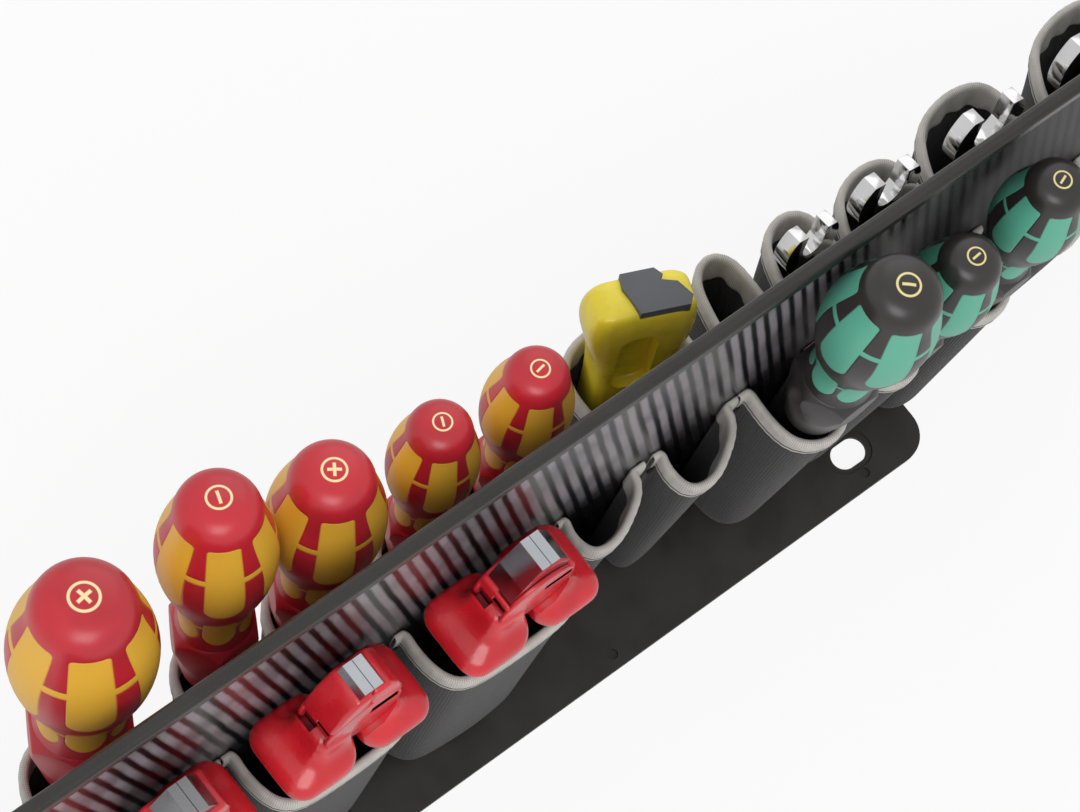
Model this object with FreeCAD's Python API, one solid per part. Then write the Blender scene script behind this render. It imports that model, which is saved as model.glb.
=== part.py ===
import FreeCAD, Part
import math
import os
from FreeCAD import Placement, Rotation, Vector

# Tool panel: an upright rimmed board with fabric pockets on both faces, standing on a flat
# foot plate and loaded with hand tools. Millimetres, +X along the board, -Y to the front, +Z up.
# The origin lies on the underside of the foot plate, under the board, midway between its two slots.

# Clearances
SEAT = 0.3          # between a tool and what carries it
LAP = 0.1           # between two halves of a pair of pliers
NOSE_EASE = 0.5     # between a driver's nose and its pocket's tape

# Board
BOARD_LEFT = -235.0
BOARD_RIGHT = 245.0
BOARD_THICK = 2.4
BOARD_TOP = 184.0
BOARD_CORNER = 16.0

# Rounded edge trim over the board's top and ends
TRIM_WIDTH = 4.6
TRIM_OVER = 1.6
TRIM_LAP = 3.4
TRIM_ROUND = 1.5

# Foot plate
PLATE_HALF = 129.8
PLATE_THICK = 2.0
PLATE_FRONT = 33.9
PLATE_REAR = 14.0
PLATE_CORNER = 10.5
NOTCH_WIDE = 5.2
NOTCH_FROM = 11.5
RIB_THICK = 1.6
RIB_HIGH = 4.5
SLOT_X = 104.4
SLOT_Y = 21.2
SLOT_LONG = 12.6
SLOT_WIDE = 8.7
RING_MARGIN = 1.9
RING_DEEP = 0.6
DIMPLE_R = 1.7
DIMPLE_DEEP = 0.8
DIMPLE_Y = 29.3

# Fabric pockets
CLOTH = 1.4
MOUTH_Z = 94.0
POCKET_FOOT = 1.2
EAR = 3.5
FOOT_GIVE = 0.9     # how far a pocket's sides move in towards its foot
BIND_THICK = 0.7
BIND_HIGH = 6.5
BIND_CAP = 0.9

# Rivets
RIVET_HEAD_R = 1.4
RIVET_HEAD = 0.7
RIVET_SHANK_R = 0.8
RIVET_INSET = 1.5
RIVET_ROOM = 0.15       # round a rivet's head, where a bulging loop is dented by it
RIVET_FROM_EDGE = 11.0
RIVET_STEP = 4.0       # how far a back pocket's rivets lie inside the front ones, to clear them

FACE = BOARD_THICK / 2.0
POCKET_BASE = PLATE_THICK + RIB_HIGH + POCKET_FOOT
POCKET_FLOOR = POCKET_BASE + CLOTH
STAND_Z = POCKET_FLOOR + SEAT
FRONT = -1
BACK = 1

# Loop shapes in plan, as (share of the width, share of the depth)
ROUND_LOOP = [(0, 0), (-0.03, 0.42), (0.11, 0.84), (0.5, 1.0), (0.89, 0.84), (1.03, 0.42), (1, 0)]
WIDE_LOOP = [(0, 0), (-0.015, 0.45), (0.07, 0.87), (0.28, 0.99), (0.5, 1.0),
             (0.72, 0.99), (0.93, 0.87), (1.015, 0.45), (1, 0)]
FULL_LOOP = [(0, 0), (-0.08, 0.42), (0.03, 0.68), (0.2, 0.88), (0.5, 0.99), (0.78, 0.995),
             (1.02, 0.9), (1.11, 0.68), (1.08, 0.35), (1, 0)]
LIMP_LOOP = [(0, 0), (-0.09, 0.5), (0.02, 0.9), (0.22, 0.98), (0.66, 0.72), (0.9, 0.42), (1, 0)]


class Pocket:
    """One loop of fabric: its contacts on the board, its depth at the mouth and at the foot."""

    def __init__(self, side, left, right, depth, foot_depth, shape):
        self.side = side
        self.left = left
        self.right = right
        self.depth = depth
        self.foot_depth = foot_depth
        self.shape = shape


class Driver:
    """A screwdriver: where its nose stands, how far it leans outwards and its sizes."""

    def __init__(self, name, side, x, out, nose, lean, handle, bulge_r, blade_r):
        self.name = name
        self.side = side
        self.x = x
        self.out = out
        self.nose = nose
        self.lean = lean
        self.handle = handle
        self.bulge_r = bulge_r
        self.blade_r = blade_r
        slope = math.radians(lean)
        drop = nose - STAND_Z - blade_r * math.sin(slope)
        self.blade = drop / math.cos(slope)


# Screwdrivers: the handle's nose stands just inside the pocket's mouth
LONG_HANDLE, LONG_BULGE = 109.0, 20.1
MID_HANDLE, MID_BULGE = 101.0, 16.6
SHORT_HANDLE, SHORT_BULGE = 84.0, 12.9
DRIVERS = [
    Driver("insulated_driver_1", BACK, -176.8, 19.5, 93.0, 7.6, LONG_HANDLE, LONG_BULGE, 3.9),
    Driver("insulated_driver_2", BACK, -130.6, 20.5, 94.6, 9.6, MID_HANDLE, MID_BULGE, 3.6),
    Driver("insulated_driver_3", BACK, -97.8, 17.5, 84.0, 6.2, MID_HANDLE, MID_BULGE, 3.6),
    Driver("insulated_driver_4", BACK, -62.7, 16.5, 92.6, 5.4, SHORT_HANDLE, SHORT_BULGE, 2.8),
    Driver("insulated_driver_5", BACK, -31.3, 16.5, 92.6, 3.3, SHORT_HANDLE, SHORT_BULGE, 2.8),
    Driver("shop_driver_1", FRONT, 60.8, 17.4, 93.6, 1.8, MID_HANDLE, MID_BULGE, 2.9),
    Driver("shop_driver_2", FRONT, 91.7, 17.5, 92.6, 3.0, SHORT_HANDLE, SHORT_BULGE, 2.2),
    Driver("shop_driver_3", FRONT, 128.0, 16.8, 92.6, 1.0, SHORT_HANDLE, SHORT_BULGE, 2.2),
]
# Handle profile from nose to cap, as (share of the length, share of the bulge radius)
HANDLE_PROFILE = [(0.0, 0.44), (0.035, 0.53), (0.16, 0.67), (0.255, 0.775), (0.295, 0.77),
                  (0.345, 0.655), (0.40, 0.625), (0.48, 0.70), (0.60, 0.93), (0.69, 1.0),
                  (0.77, 0.97), (0.845, 0.85), (0.895, 0.755), (0.932, 0.72), (0.964, 0.69),
                  (0.986, 0.59), (0.997, 0.35)]
COLLAR_TOP = 0.30
COLLAR_FLAT = 0.69

# Pliers, head up
PLIERS_X = (-174.6, -116.5, -55.5)
PIVOT_Z = 131.0
PLIERS_OUT = 15.4      # the pivot's distance in front of the board's middle
HEAD_HALF = 5.0        # half the head's thickness
JOINT_R = 11.5
PIN_R = 4.0
JAW_TOP = 23.5
COVER = 1.4            # insulation over the head
COVER_TOP = 21.3
GUARD_DROP = 20.0
GUARD_REACH = 24.6
GUARD_HALF = 12.6
GUARD_EDGE = 1.8
GUARD_ROUND = 7.0
GRIP_END = 121.2
GRIP_TOP_THICK = 6.9    # half the grip's thickness at the mouth
GRIP_EASE = 1.6         # between a grip and its pocket's tape
GRIP_FOOT_THICK = 5.4
TANG_HALF = 2.6

# Wrenches: jaw width, head radius, head centre over the lower end, where they stand
WRENCH_THICK = 5.4
SHANK_THICK = 4.0
WRENCHES = [
    ("wrench_1", 8.0, 10.4, 95.6, 89.4, 11.0),
    ("wrench_2", 10.0, 12.4, 94.4, 120.5, 11.0),
    ("wrench_3", 13.0, 14.4, 92.0, 161.0, 10.6),
    ("wrench_4", 15.0, 16.0, 90.0, 207.3, 11.0),
]
LOW_HEAD = 0.72        # the lower head's share of the upper one

# Cable stripper
STRIPPER_X = 21.2
STRIPPER_OUT = 14.4
STRIPPER_TURN = -23.4
STRIPPER_LEAN = 7.5
STRIPPER_HALF = 7.75
STRIPPER_HIGH = 128.5
STRIPPER_Z = 10.6
HOLLOW_R = 5.4
HOLLOW_X = -3.6
HOLLOW_LOW = 101.0
HOLLOW_RISE = 14.0
HOLLOW_SLANT = 1.5
HOLLOW_DEEP = 4.2
INSERT_PROUD = 1.1
INSERT_DEEP = 3.0


def lerp(low, high, share):
    return low + (high - low) * share


def mouth_share(z):
    """How far up the pocket a height lies: 0 at the foot, 1 at the mouth."""
    return (z - POCKET_BASE) / (MOUTH_Z - POCKET_BASE)


def driver_out(driver, z):
    """Distance of a driver's axis from the board's middle at a height."""
    return driver.out + (z - driver.nose) * math.tan(math.radians(driver.lean))


def handle_radius(driver, z):
    """Handle radius at a height inside its lower nose."""
    share = (z - driver.nose) / driver.handle
    low, high = HANDLE_PROFILE[1], HANDLE_PROFILE[2]
    slope = (high[1] - low[1]) / (high[0] - low[0])
    return (low[1] + (share - low[0]) * slope) * driver.bulge_r


def driver_pocket(driver, half_width):
    """A loop that holds a driver's nose at the mouth and its blade at the foot."""
    top = MOUTH_Z + BIND_CAP
    reach = driver_out(driver, top) + handle_radius(driver, top) / math.cos(math.radians(driver.lean))
    depth = reach + NOSE_EASE + BIND_THICK + CLOTH - FACE
    foot = max(driver_out(driver, POCKET_BASE), 6.0) + driver.blade_r + CLOTH + 1.5 - FACE
    return Pocket(driver.side, driver.x - half_width, driver.x + half_width, depth, foot, ROUND_LOOP)


def pliers_pocket(x, left_half, right_half):
    depth = PLIERS_OUT + GRIP_TOP_THICK + GRIP_EASE + BIND_THICK + CLOTH - FACE
    foot = PLIERS_OUT + GRIP_FOOT_THICK + 1.0 + CLOTH - FACE
    return Pocket(FRONT, x - left_half, x + right_half, depth, foot, WIDE_LOOP)


def front_pockets():
    pockets = [pliers_pocket(x, 24.3, 26.2) for x in PLIERS_X]
    pockets.append(Pocket(FRONT, -20.1, 5.9, 15.6, 10.6, LIMP_LOOP))
    pockets.append(Pocket(FRONT, 16.0, 41.5, 17.2, 10.8, LIMP_LOOP))
    pockets.append(driver_pocket(DRIVERS[5], 11.7))
    pockets.append(driver_pocket(DRIVERS[6], 10.4))
    pockets.append(driver_pocket(DRIVERS[7], 11.2))
    pockets.append(Pocket(FRONT, 156.0, 183.0, 21.0, 12.5, LIMP_LOOP))
    return pockets


def back_pockets():
    pockets = [
        driver_pocket(DRIVERS[0], 17.5),
        driver_pocket(DRIVERS[1], 11.9),
        driver_pocket(DRIVERS[2], 12.8),
        driver_pocket(DRIVERS[3], 11.0),
        driver_pocket(DRIVERS[4], 11.0),
        Pocket(BACK, 5.4, 44.4, 38.2, 27.0, WIDE_LOOP),
        Pocket(BACK, 55.0, 71.0, 36.4, 22.0, FULL_LOOP),
        Pocket(BACK, 80.0, 99.5, 34.1, 22.0, FULL_LOOP),
        Pocket(BACK, 107.0, 132.4, 32.6, 22.0, FULL_LOOP),
        Pocket(BACK, 141.5, 173.5, 36.3, 22.0, FULL_LOOP),
        Pocket(BACK, 189.5, 224.5, 37.6, 22.0, FULL_LOOP),
    ]
    return pockets


def spline_edge(points):
    curve = Part.BSplineCurve()
    curve.interpolate(points)
    return curve.toShape()


def polygon_face(points):
    return Part.Face(Part.makePolygon(points + [points[0]]))


def loop_points(pocket, z, offset):
    """Points of a pocket's loop at a height, moved outwards by an offset."""
    share = mouth_share(z)
    give = FOOT_GIVE * (1 - share)
    left = pocket.left + give
    width = pocket.right - give - left
    depth = lerp(pocket.foot_depth, pocket.depth, share)
    flat = [(left + s * width, d * depth) for s, d in pocket.shape]
    moved = []
    for index, (x, out) in enumerate(flat):
        if index == 0:
            moved.append((x - offset, out))
            continue
        if index == len(flat) - 1:
            moved.append((x + offset, out))
            continue
        before, after = flat[index - 1], flat[index + 1]
        run = (after[0] - before[0], after[1] - before[1])
        length = math.hypot(run[0], run[1])
        moved.append((x - run[1] / length * offset, out + run[0] / length * offset))
    return [Vector(x, pocket.side * (FACE + out), z) for x, out in moved]


def loop_wire(pocket, z, offset, sink):
    """Closed outline of a loop at a height; sink carries its ends into the board's face."""
    points = loop_points(pocket, z, offset)
    first, last = points[0], points[-1]
    edges = [spline_edge(points)]
    if sink > 0:
        first_low = Vector(first.x, first.y - pocket.side * sink, z)
        last_low = Vector(last.x, last.y - pocket.side * sink, z)
        edges.append(Part.makeLine(last, last_low))
        edges.append(Part.makeLine(last_low, first_low))
        edges.append(Part.makeLine(first_low, first))
    else:
        edges.append(Part.makeLine(last, first))
    return Part.Wire(edges)


def loop_solid(pocket, z_low, z_high, offset, sink=0.0):
    low = loop_wire(pocket, z_low, offset, sink)
    high = loop_wire(pocket, z_high, offset, sink)
    return Part.makeLoft([low, high], True, True)


def side_box(side, x_low, x_high, out_low, out_high, z_low, z_high):
    """A box that stands on one face of the board, measured outwards from that face."""
    near = side * (FACE + out_low)
    far = side * (FACE + out_high)
    corner = Vector(x_low, min(near, far), z_low)
    return Part.makeBox(x_high - x_low, abs(far - near), z_high - z_low, corner)


def ear_face_points(pocket, left_ear):
    """Outline of a pocket's flat ear on the board's face."""
    give = FOOT_GIVE + CLOTH * 0.5
    inner = CLOTH * 0.5
    if left_ear:
        return [(pocket.left - EAR, POCKET_BASE), (pocket.left + give, POCKET_BASE),
                (pocket.left + inner, MOUTH_Z), (pocket.left - EAR, MOUTH_Z)]
    return [(pocket.right + EAR, POCKET_BASE), (pocket.right + EAR, MOUTH_Z),
            (pocket.right - inner, MOUTH_Z), (pocket.right - give, POCKET_BASE)]


def make_ear(pocket, left_ear):
    y = pocket.side * FACE
    points = [Vector(x, y, z) for x, z in ear_face_points(pocket, left_ear)]
    return polygon_face(points).extrude(Vector(0, pocket.side * CLOTH, 0))


def rivet_spots(pocket):
    """Places of the rivets that hold a pocket's ears to the board."""
    spots = []
    inside = RIVET_FROM_EDGE + (RIVET_STEP if pocket.side == BACK else 0.0)
    for x in (pocket.left - EAR + RIVET_INSET, pocket.right + EAR - RIVET_INSET):
        for z in (POCKET_BASE + inside, MOUTH_Z - inside):
            spots.append((x, z))
    return spots


def make_rivet(pocket, x, z):
    """A blind rivet through an ear and the board, its head on the ear."""
    outward = Vector(0, pocket.side, 0)
    far_face = Vector(x, -pocket.side * FACE, z)
    ear_top = Vector(x, pocket.side * (FACE + CLOTH), z)
    shank = Part.makeCylinder(RIVET_SHANK_R, BOARD_THICK + CLOTH, far_face, outward)
    head = Part.makeCylinder(RIVET_HEAD_R, RIVET_HEAD, ear_top, outward)
    return shank.fuse(head).removeSplitter()


def make_pocket(pocket):
    outer = loop_solid(pocket, POCKET_BASE, MOUTH_Z, 0.0)
    inner = loop_solid(pocket, POCKET_BASE - 1, MOUTH_Z + 1, -CLOTH, 1.0)
    floor = loop_solid(pocket, POCKET_BASE, POCKET_FLOOR, -CLOTH / 2)
    wall = outer.cut(inner)
    wall = wall.fuse([floor, make_ear(pocket, True), make_ear(pocket, False)])
    outward = Vector(0, pocket.side, 0)
    for x, z in rivet_spots(pocket):
        start = Vector(x, pocket.side * FACE, z)
        hole = Part.makeCylinder(RIVET_SHANK_R, CLOTH, start, outward)
        ear_top = start + outward * CLOTH
        dent = Part.makeCylinder(RIVET_HEAD_R + RIVET_ROOM, RIVET_HEAD + RIVET_ROOM, ear_top, outward)
        wall = wall.cut(hole).cut(dent)
    return wall


def make_binding(pocket, wall):
    """Tape folded over a pocket's mouth and along the top of its ears."""
    low = MOUTH_Z - BIND_HIGH
    top = MOUTH_Z + BIND_CAP
    outer = loop_solid(pocket, low, top, BIND_THICK)
    inner = loop_solid(pocket, low - 1, top + 1, -CLOTH - BIND_THICK, 1.0)
    tape = outer.cut(inner)
    reach = CLOTH + BIND_THICK
    left = side_box(pocket.side, pocket.left - EAR, pocket.left, 0, reach, low, top)
    right = side_box(pocket.side, pocket.right, pocket.right + EAR, 0, reach, low, top)
    return tape.fuse([left, right]).cut(wall)


def xz_outline(left, right, bottom, top, corner, y):
    """Outline of a sheet that stands on edge, with its two upper corners rounded."""
    slant = corner * math.sqrt(0.5)
    left_mid = Vector(left + corner - slant, y, top - corner + slant)
    right_mid = Vector(right - corner + slant, y, top - corner + slant)
    points = [Vector(left, y, bottom), Vector(left, y, top - corner), Vector(left + corner, y, top),
              Vector(right - corner, y, top), Vector(right, y, top - corner), Vector(right, y, bottom)]
    return Part.Wire([
        Part.makeLine(points[0], points[1]),
        Part.Arc(points[1], left_mid, points[2]).toShape(),
        Part.makeLine(points[2], points[3]),
        Part.Arc(points[3], right_mid, points[4]).toShape(),
        Part.makeLine(points[4], points[5]),
        Part.makeLine(points[5], points[0]),
    ])


def sheet_solid(grow, bottom, thick):
    wire = xz_outline(BOARD_LEFT - grow, BOARD_RIGHT + grow, bottom, BOARD_TOP + grow,
                      BOARD_CORNER + grow, -thick / 2.0)
    return Part.Face(wire).extrude(Vector(0, thick, 0))


def make_board(pockets):
    board = sheet_solid(0.0, PLATE_THICK, BOARD_THICK)
    shanks = []
    for pocket in pockets:
        for x, z in rivet_spots(pocket):
            start = Vector(x, -FACE, z)
            shanks.append(Part.makeCylinder(RIVET_SHANK_R, BOARD_THICK, start, Vector(0, 1, 0)))
    return board.cut(shanks)


def make_trim():
    """The rounded profile pushed over the board's top and ends, down to the pockets' binding."""
    bottom = MOUTH_Z + BIND_CAP + 6.0
    outer = sheet_solid(TRIM_OVER, bottom, TRIM_WIDTH)
    rounded = []
    for edge in outer.Edges:
        middle = edge.BoundBox
        on_side = middle.YLength < 0.001
        if on_side and middle.ZMax > bottom + 0.01:
            rounded.append(edge)
    outer = outer.makeFillet(TRIM_ROUND, rounded)
    inner = sheet_solid(-TRIM_LAP, bottom - 1.0, TRIM_WIDTH + 2.0)
    return outer.cut(inner).cut(sheet_solid(0.0, PLATE_THICK, BOARD_THICK))


def obround(length, width, depth, centre):
    radius = width / 2.0
    half = length / 2.0 - radius
    block = Part.makeBox(2 * half, width, depth, centre + Vector(-half, -radius, 0))
    left = Part.makeCylinder(radius, depth, centre + Vector(-half, 0, 0))
    right = Part.makeCylinder(radius, depth, centre + Vector(half, 0, 0))
    return block.fuse([left, right]).removeSplitter()


def make_plate():
    """Foot plate with two slots, three dimples, notched ends and a channel for the board."""
    body = Part.makeBox(2 * PLATE_HALF, PLATE_FRONT + PLATE_REAR, PLATE_THICK,
                        Vector(-PLATE_HALF, -PLATE_FRONT, 0))
    corners = [edge for edge in body.Edges
               if edge.BoundBox.ZLength > PLATE_THICK / 2 and edge.BoundBox.YMax < 0]
    body = body.makeFillet(PLATE_CORNER, corners)
    for x in (-PLATE_HALF, PLATE_HALF - NOTCH_WIDE):
        notch = Part.makeBox(NOTCH_WIDE, NOTCH_FROM + PLATE_REAR, PLATE_THICK, Vector(x, -NOTCH_FROM, 0))
        body = body.cut(notch)
    rib_half = PLATE_HALF - NOTCH_WIDE
    for y in (-FACE - RIB_THICK, FACE):
        rib = Part.makeBox(2 * rib_half, RIB_THICK, RIB_HIGH, Vector(-rib_half, y, PLATE_THICK))
        body = body.fuse(rib)
    body = body.removeSplitter()
    for x in (-SLOT_X, SLOT_X):
        centre = Vector(x, -SLOT_Y, 0)
        body = body.cut(obround(SLOT_LONG, SLOT_WIDE, PLATE_THICK, centre))
        ring_centre = centre + Vector(0, 0, PLATE_THICK - RING_DEEP)
        ring_length = SLOT_LONG + 2 * RING_MARGIN
        ring_width = SLOT_WIDE + 2 * RING_MARGIN
        body = body.cut(obround(ring_length, ring_width, RING_DEEP, ring_centre))
    for x in (-SLOT_X, 0.0, SLOT_X):
        base = Vector(x, -DIMPLE_Y, PLATE_THICK - DIMPLE_DEEP)
        body = body.cut(Part.makeCylinder(DIMPLE_R, DIMPLE_DEEP, base))
    return body


def stand(shape, x, out, z, side, lean, turn=0.0):
    """Place an upright tool beside the board, leaning outwards at the top."""
    tilt = Rotation(Vector(1, 0, 0), -side * lean)
    spin = Rotation(Vector(0, 0, 1), turn)
    shape = shape.copy()
    place = Placement(Vector(x, side * out, z), tilt.multiply(spin))
    shape.Placement = place.multiply(shape.Placement)
    return shape


def make_handle(driver):
    """Handle with a domed cap, a round bulge, a waist and a six-sided collar."""
    points = [Vector(r * driver.bulge_r, 0, s * driver.handle) for s, r in HANDLE_PROFILE]
    top = Vector(0, 0, driver.handle)
    base = Vector(0, 0, 0)
    curve = Part.BSplineCurve()
    curve.interpolate(points + [top], InitialTangent=Vector(0.3, 0, 1), FinalTangent=Vector(-1, 0, 0))
    outline = Part.Wire([curve.toShape(), Part.makeLine(top, base), Part.makeLine(base, points[0])])
    handle = Part.Face(outline).revolve(base, Vector(0, 0, 1), 360)
    flat = COLLAR_FLAT * driver.bulge_r
    corner = flat / math.cos(math.pi / 6)
    ring = [Vector(corner * math.cos(k * math.pi / 3), corner * math.sin(k * math.pi / 3), -1)
            for k in range(6)]
    high = COLLAR_TOP * driver.handle + 1
    hexagon = polygon_face(ring).extrude(Vector(0, 0, high))
    around = Part.makeCylinder(driver.bulge_r * 1.2, high, Vector(0, 0, -1))
    handle = handle.cut(around.cut(hexagon))
    bore = Part.makeCylinder(driver.blade_r * 0.7, driver.handle * 0.45)
    return handle.cut(bore)


def make_blade(driver):
    """Blade with its shank set in the handle and a flat tip."""
    shank = Part.makeCylinder(driver.blade_r * 0.7, driver.handle * 0.45)
    rod = Part.makeCylinder(driver.blade_r, driver.blade, Vector(0, 0, -driver.blade))
    tip_long = driver.blade_r * 3
    keep = driver.blade_r * 0.3
    for sign in (-1, 1):
        low = Vector(-driver.blade_r * 2, sign * keep, -driver.blade)
        high = Vector(-driver.blade_r * 2, sign * driver.blade_r * 1.02, -driver.blade + tip_long)
        away = Vector(-driver.blade_r * 2, sign * driver.blade_r * 1.5, -driver.blade - 1)
        under = Vector(-driver.blade_r * 2, sign * keep, -driver.blade - 1)
        outside = Vector(-driver.blade_r * 2, sign * driver.blade_r * 1.5, -driver.blade + tip_long)
        wedge = polygon_face([low, high, outside, away, under]).extrude(Vector(driver.blade_r * 4, 0, 0))
        rod = rod.cut(wedge)
    return shank.fuse(rod).removeSplitter()


def plane_prism(points, y_low, y_high):
    """Prism of an outline given as (across, up) pairs."""
    face = polygon_face([Vector(u, y_low, w) for u, w in points])
    return face.extrude(Vector(0, y_high - y_low, 0))


def disc(radius, y_low, y_high):
    return Part.makeCylinder(radius, y_high - y_low, Vector(0, y_low, 0), Vector(0, 1, 0))


# Outlines of the right-hand jaw and the left-hand leg, seen from the front with the head up
JAW = [(LAP, 2.0), (10.6, 2.0), (10.8, 7.5), (8.2, 15.0), (3.1, JAW_TOP), (LAP, JAW_TOP)]
JAW_COVER = [(LAP, 2.0), (11.9, 2.0), (12.2, 7.8), (9.5, 15.6), (5.5, COVER_TOP), (LAP, COVER_TOP)]
LEG = [(-1.5, -6.0), (-10.4, -4.0), (-13.0, -12.0), (-15.4, -24.0), (-15.9, -45.0), (-13.6, -90.0),
       (-11.6, -110.0), (-6.6, -110.0), (-8.6, -90.0), (-10.7, -45.0), (-8.6, -24.0), (-5.0, -14.0)]
# Grip sections down the leg: (drop, middle across, half across, half thick)
GRIP_SECTIONS = [(GUARD_DROP - 1.0, -12.6, 9.6, 9.4), (36.0, -13.0, 7.6, GRIP_TOP_THICK),
                 (62.0, -12.8, 7.4, 6.9), (90.0, -11.0, 6.5, 6.4),
                 (GRIP_END, -9.2, 5.6, GRIP_FOOT_THICK)]


# The guard's flared skirt: (distance in from its edge, rise over its edge)
FLARE = [(0.0, 0.0), (3.0, 2.4), (6.2, 5.6), (9.0, 10.0), (10.4, 15.5)]


def half_turn(shape):
    """The other half of a pair of pliers is the same piece turned round."""
    turned = shape.copy()
    turned.rotate(Vector(0, 0, 0), Vector(0, 0, 1), 180)
    return turned


def make_half():
    """Steel half: jaw on the right, lap joint in front, leg on the left."""
    half = disc(JOINT_R, -HEAD_HALF, -LAP / 2)
    half = half.fuse([plane_prism(JAW, -HEAD_HALF, HEAD_HALF), leg_prism()])
    return half.cut(disc(JOINT_R + 0.5, -LAP / 2, HEAD_HALF + 1)).removeSplitter()


def leg_prism():
    upper = plane_prism(LEG, -TANG_HALF, TANG_HALF)
    root = plane_prism([(-1.5, -6.0), (-10.4, -4.0), (-13.0, -12.0), (-5.0, -14.0)], -HEAD_HALF, HEAD_HALF)
    return upper.fuse(root)


def make_pinned_half():
    """The left half carries the riveted pivot pin."""
    pin = disc(PIN_R, -HEAD_HALF, HEAD_HALF + LAP)
    head = disc(PIN_R + 1.2, HEAD_HALF + LAP, HEAD_HALF + LAP + 0.8)
    return make_half().fuse([pin, head]).removeSplitter()


def make_free_half():
    return half_turn(make_half()).cut(disc(PIN_R + 0.15, -HEAD_HALF - 1, HEAD_HALF + 1))


def rounded_slab(u_low, u_high, y_half, w, radius):
    """Wire of a rounded rectangle lying level at a height."""
    slab = Part.makeBox(u_high - u_low, 2 * y_half, 1, Vector(u_low, -y_half, w))
    uprights = [edge for edge in slab.Edges if edge.BoundBox.ZLength > 0.5]
    slab = slab.makeFillet(radius, uprights)
    for face in slab.Faces:
        if face.BoundBox.ZMax < w + 0.01:
            return face.OuterWire
    return None


def ellipse_wire(centre, half_u, half_y):
    if half_u >= half_y:
        curve = Part.Ellipse(centre, half_u, half_y)
        return Part.Wire(curve.toShape())
    curve = Part.Ellipse(centre + Vector(0, half_y, 0), centre + Vector(half_u, 0, 0), centre)
    return Part.Wire(curve.toShape())


def make_grip():
    """Insulation of the left half: head cover, guard with a raised rim, and grip."""
    cover = plane_prism(JAW_COVER, -HEAD_HALF - COVER, HEAD_HALF + COVER)
    front = disc(JOINT_R + COVER, -HEAD_HALF - COVER, -HEAD_HALF)
    neck = plane_prism([(-1.2, -5.0), (-11.6, -3.0), (-14.5, -12.0), (-15.0, -GUARD_DROP), (-1.2, -GUARD_DROP)],
                       -HEAD_HALF - COVER, HEAD_HALF + COVER)
    neck = neck.cut(disc(JOINT_R + COVER + 0.8, -LAP / 2, HEAD_HALF + COVER + 1))
    cover = cover.cut(disc(JOINT_R + COVER + 0.8, -LAP / 2, HEAD_HALF + COVER + 1))
    edge_low = rounded_slab(-GUARD_REACH, -1.3, GUARD_HALF, -GUARD_DROP, GUARD_ROUND)
    edge = Part.Face(edge_low).extrude(Vector(0, 0, GUARD_EDGE))
    flare = [rounded_slab(-GUARD_REACH + inward, -1.3, GUARD_HALF - inward * 0.58,
                          -GUARD_DROP + GUARD_EDGE + rise, GUARD_ROUND - inward * 0.28)
             for inward, rise in FLARE]
    saddle = Part.makeLoft(flare, True, False)
    wires = [ellipse_wire(Vector(u, 0, -w), a, b) for w, u, a, b in GRIP_SECTIONS]
    grip = Part.makeLoft(wires, True, False)
    shape = cover.fuse([front, neck, edge, saddle, grip])
    shape = shape.cut(make_half())
    shape = shape.cut(disc(JOINT_R + COVER + 0.8, -LAP / 2, HEAD_HALF + COVER + 1))
    return shape.cut(disc(PIN_R + 1.5, -HEAD_HALF - COVER - 1, -HEAD_HALF)).removeSplitter()


def make_wrench(jaw, head_r, rise):
    """Double open-ended wrench standing on its smaller head."""
    def one_head(size, radius, centre_w, turn, up):
        head = disc(radius, -WRENCH_THICK / 2, WRENCH_THICK / 2)
        prong_top = radius * 0.86
        prongs = plane_prism([(-radius * 0.93, 0), (radius * 0.93, 0), (size / 2 + 3.0, prong_top),
                              (-size / 2 - 3.0, prong_top)], -WRENCH_THICK / 2, WRENCH_THICK / 2)
        head = head.fuse(prongs)
        depth = size * 0.42
        mouth = plane_prism([(-size / 2, -depth), (size / 2, -depth), (size / 2, radius * 1.3),
                             (-size / 2, radius * 1.3)], -WRENCH_THICK, WRENCH_THICK)
        bottom = Part.makeCylinder(size / 2, WRENCH_THICK * 2, Vector(0, -WRENCH_THICK, -depth + size * 0.18),
                                   Vector(0, 1, 0))
        head = head.cut(mouth.fuse(bottom))
        head.rotate(Vector(0, 0, 0), Vector(0, 1, 0), turn + (0 if up else 180))
        head.translate(Vector(0, 0, centre_w))
        return head
    low_r = head_r * LOW_HEAD
    upper = one_head(jaw, head_r, rise, 12.0, True)
    lower = one_head(jaw * LOW_HEAD, low_r, low_r, 12.0, False)
    half_top = head_r * 0.50
    half_low = low_r * 0.50
    shank = plane_prism([(-half_low, low_r * 1.5), (half_low, low_r * 1.5), (half_top, rise - head_r * 0.7),
                         (-half_top, rise - head_r * 0.7)], -SHANK_THICK / 2, SHANK_THICK / 2)
    return upper.fuse([lower, shank]).removeSplitter()


# Stripper outline seen from its flat side: (across, up), grip at the bottom, nose at the top left
STRIPPER = [(-8.0, 0.0), (8.5, 0.0), (10.0, 50.0), (12.5, 88.0), (17.4, 106.0), (18.0, STRIPPER_HIGH - 5.0),
            (15.5, STRIPPER_HIGH), (-9.0, STRIPPER_HIGH), (-14.4, STRIPPER_HIGH - 6.0), (-14.6, 116.0),
            (-12.0, 107.0), (-10.0, 97.0), (-8.6, 84.0), (-9.0, 50.0)]
# The insert's stepped outline seen from above: (across, thick)
INSERT = [(-3.1, 6.8), (7.0, 6.8), (9.0, 4.2), (7.6, 2.8), (12.5, 1.2), (15.6, -4.0), (14.2, -6.8),
          (-0.7, -6.8), (-2.3, -1.3), (-3.6, 2.2)]


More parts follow.
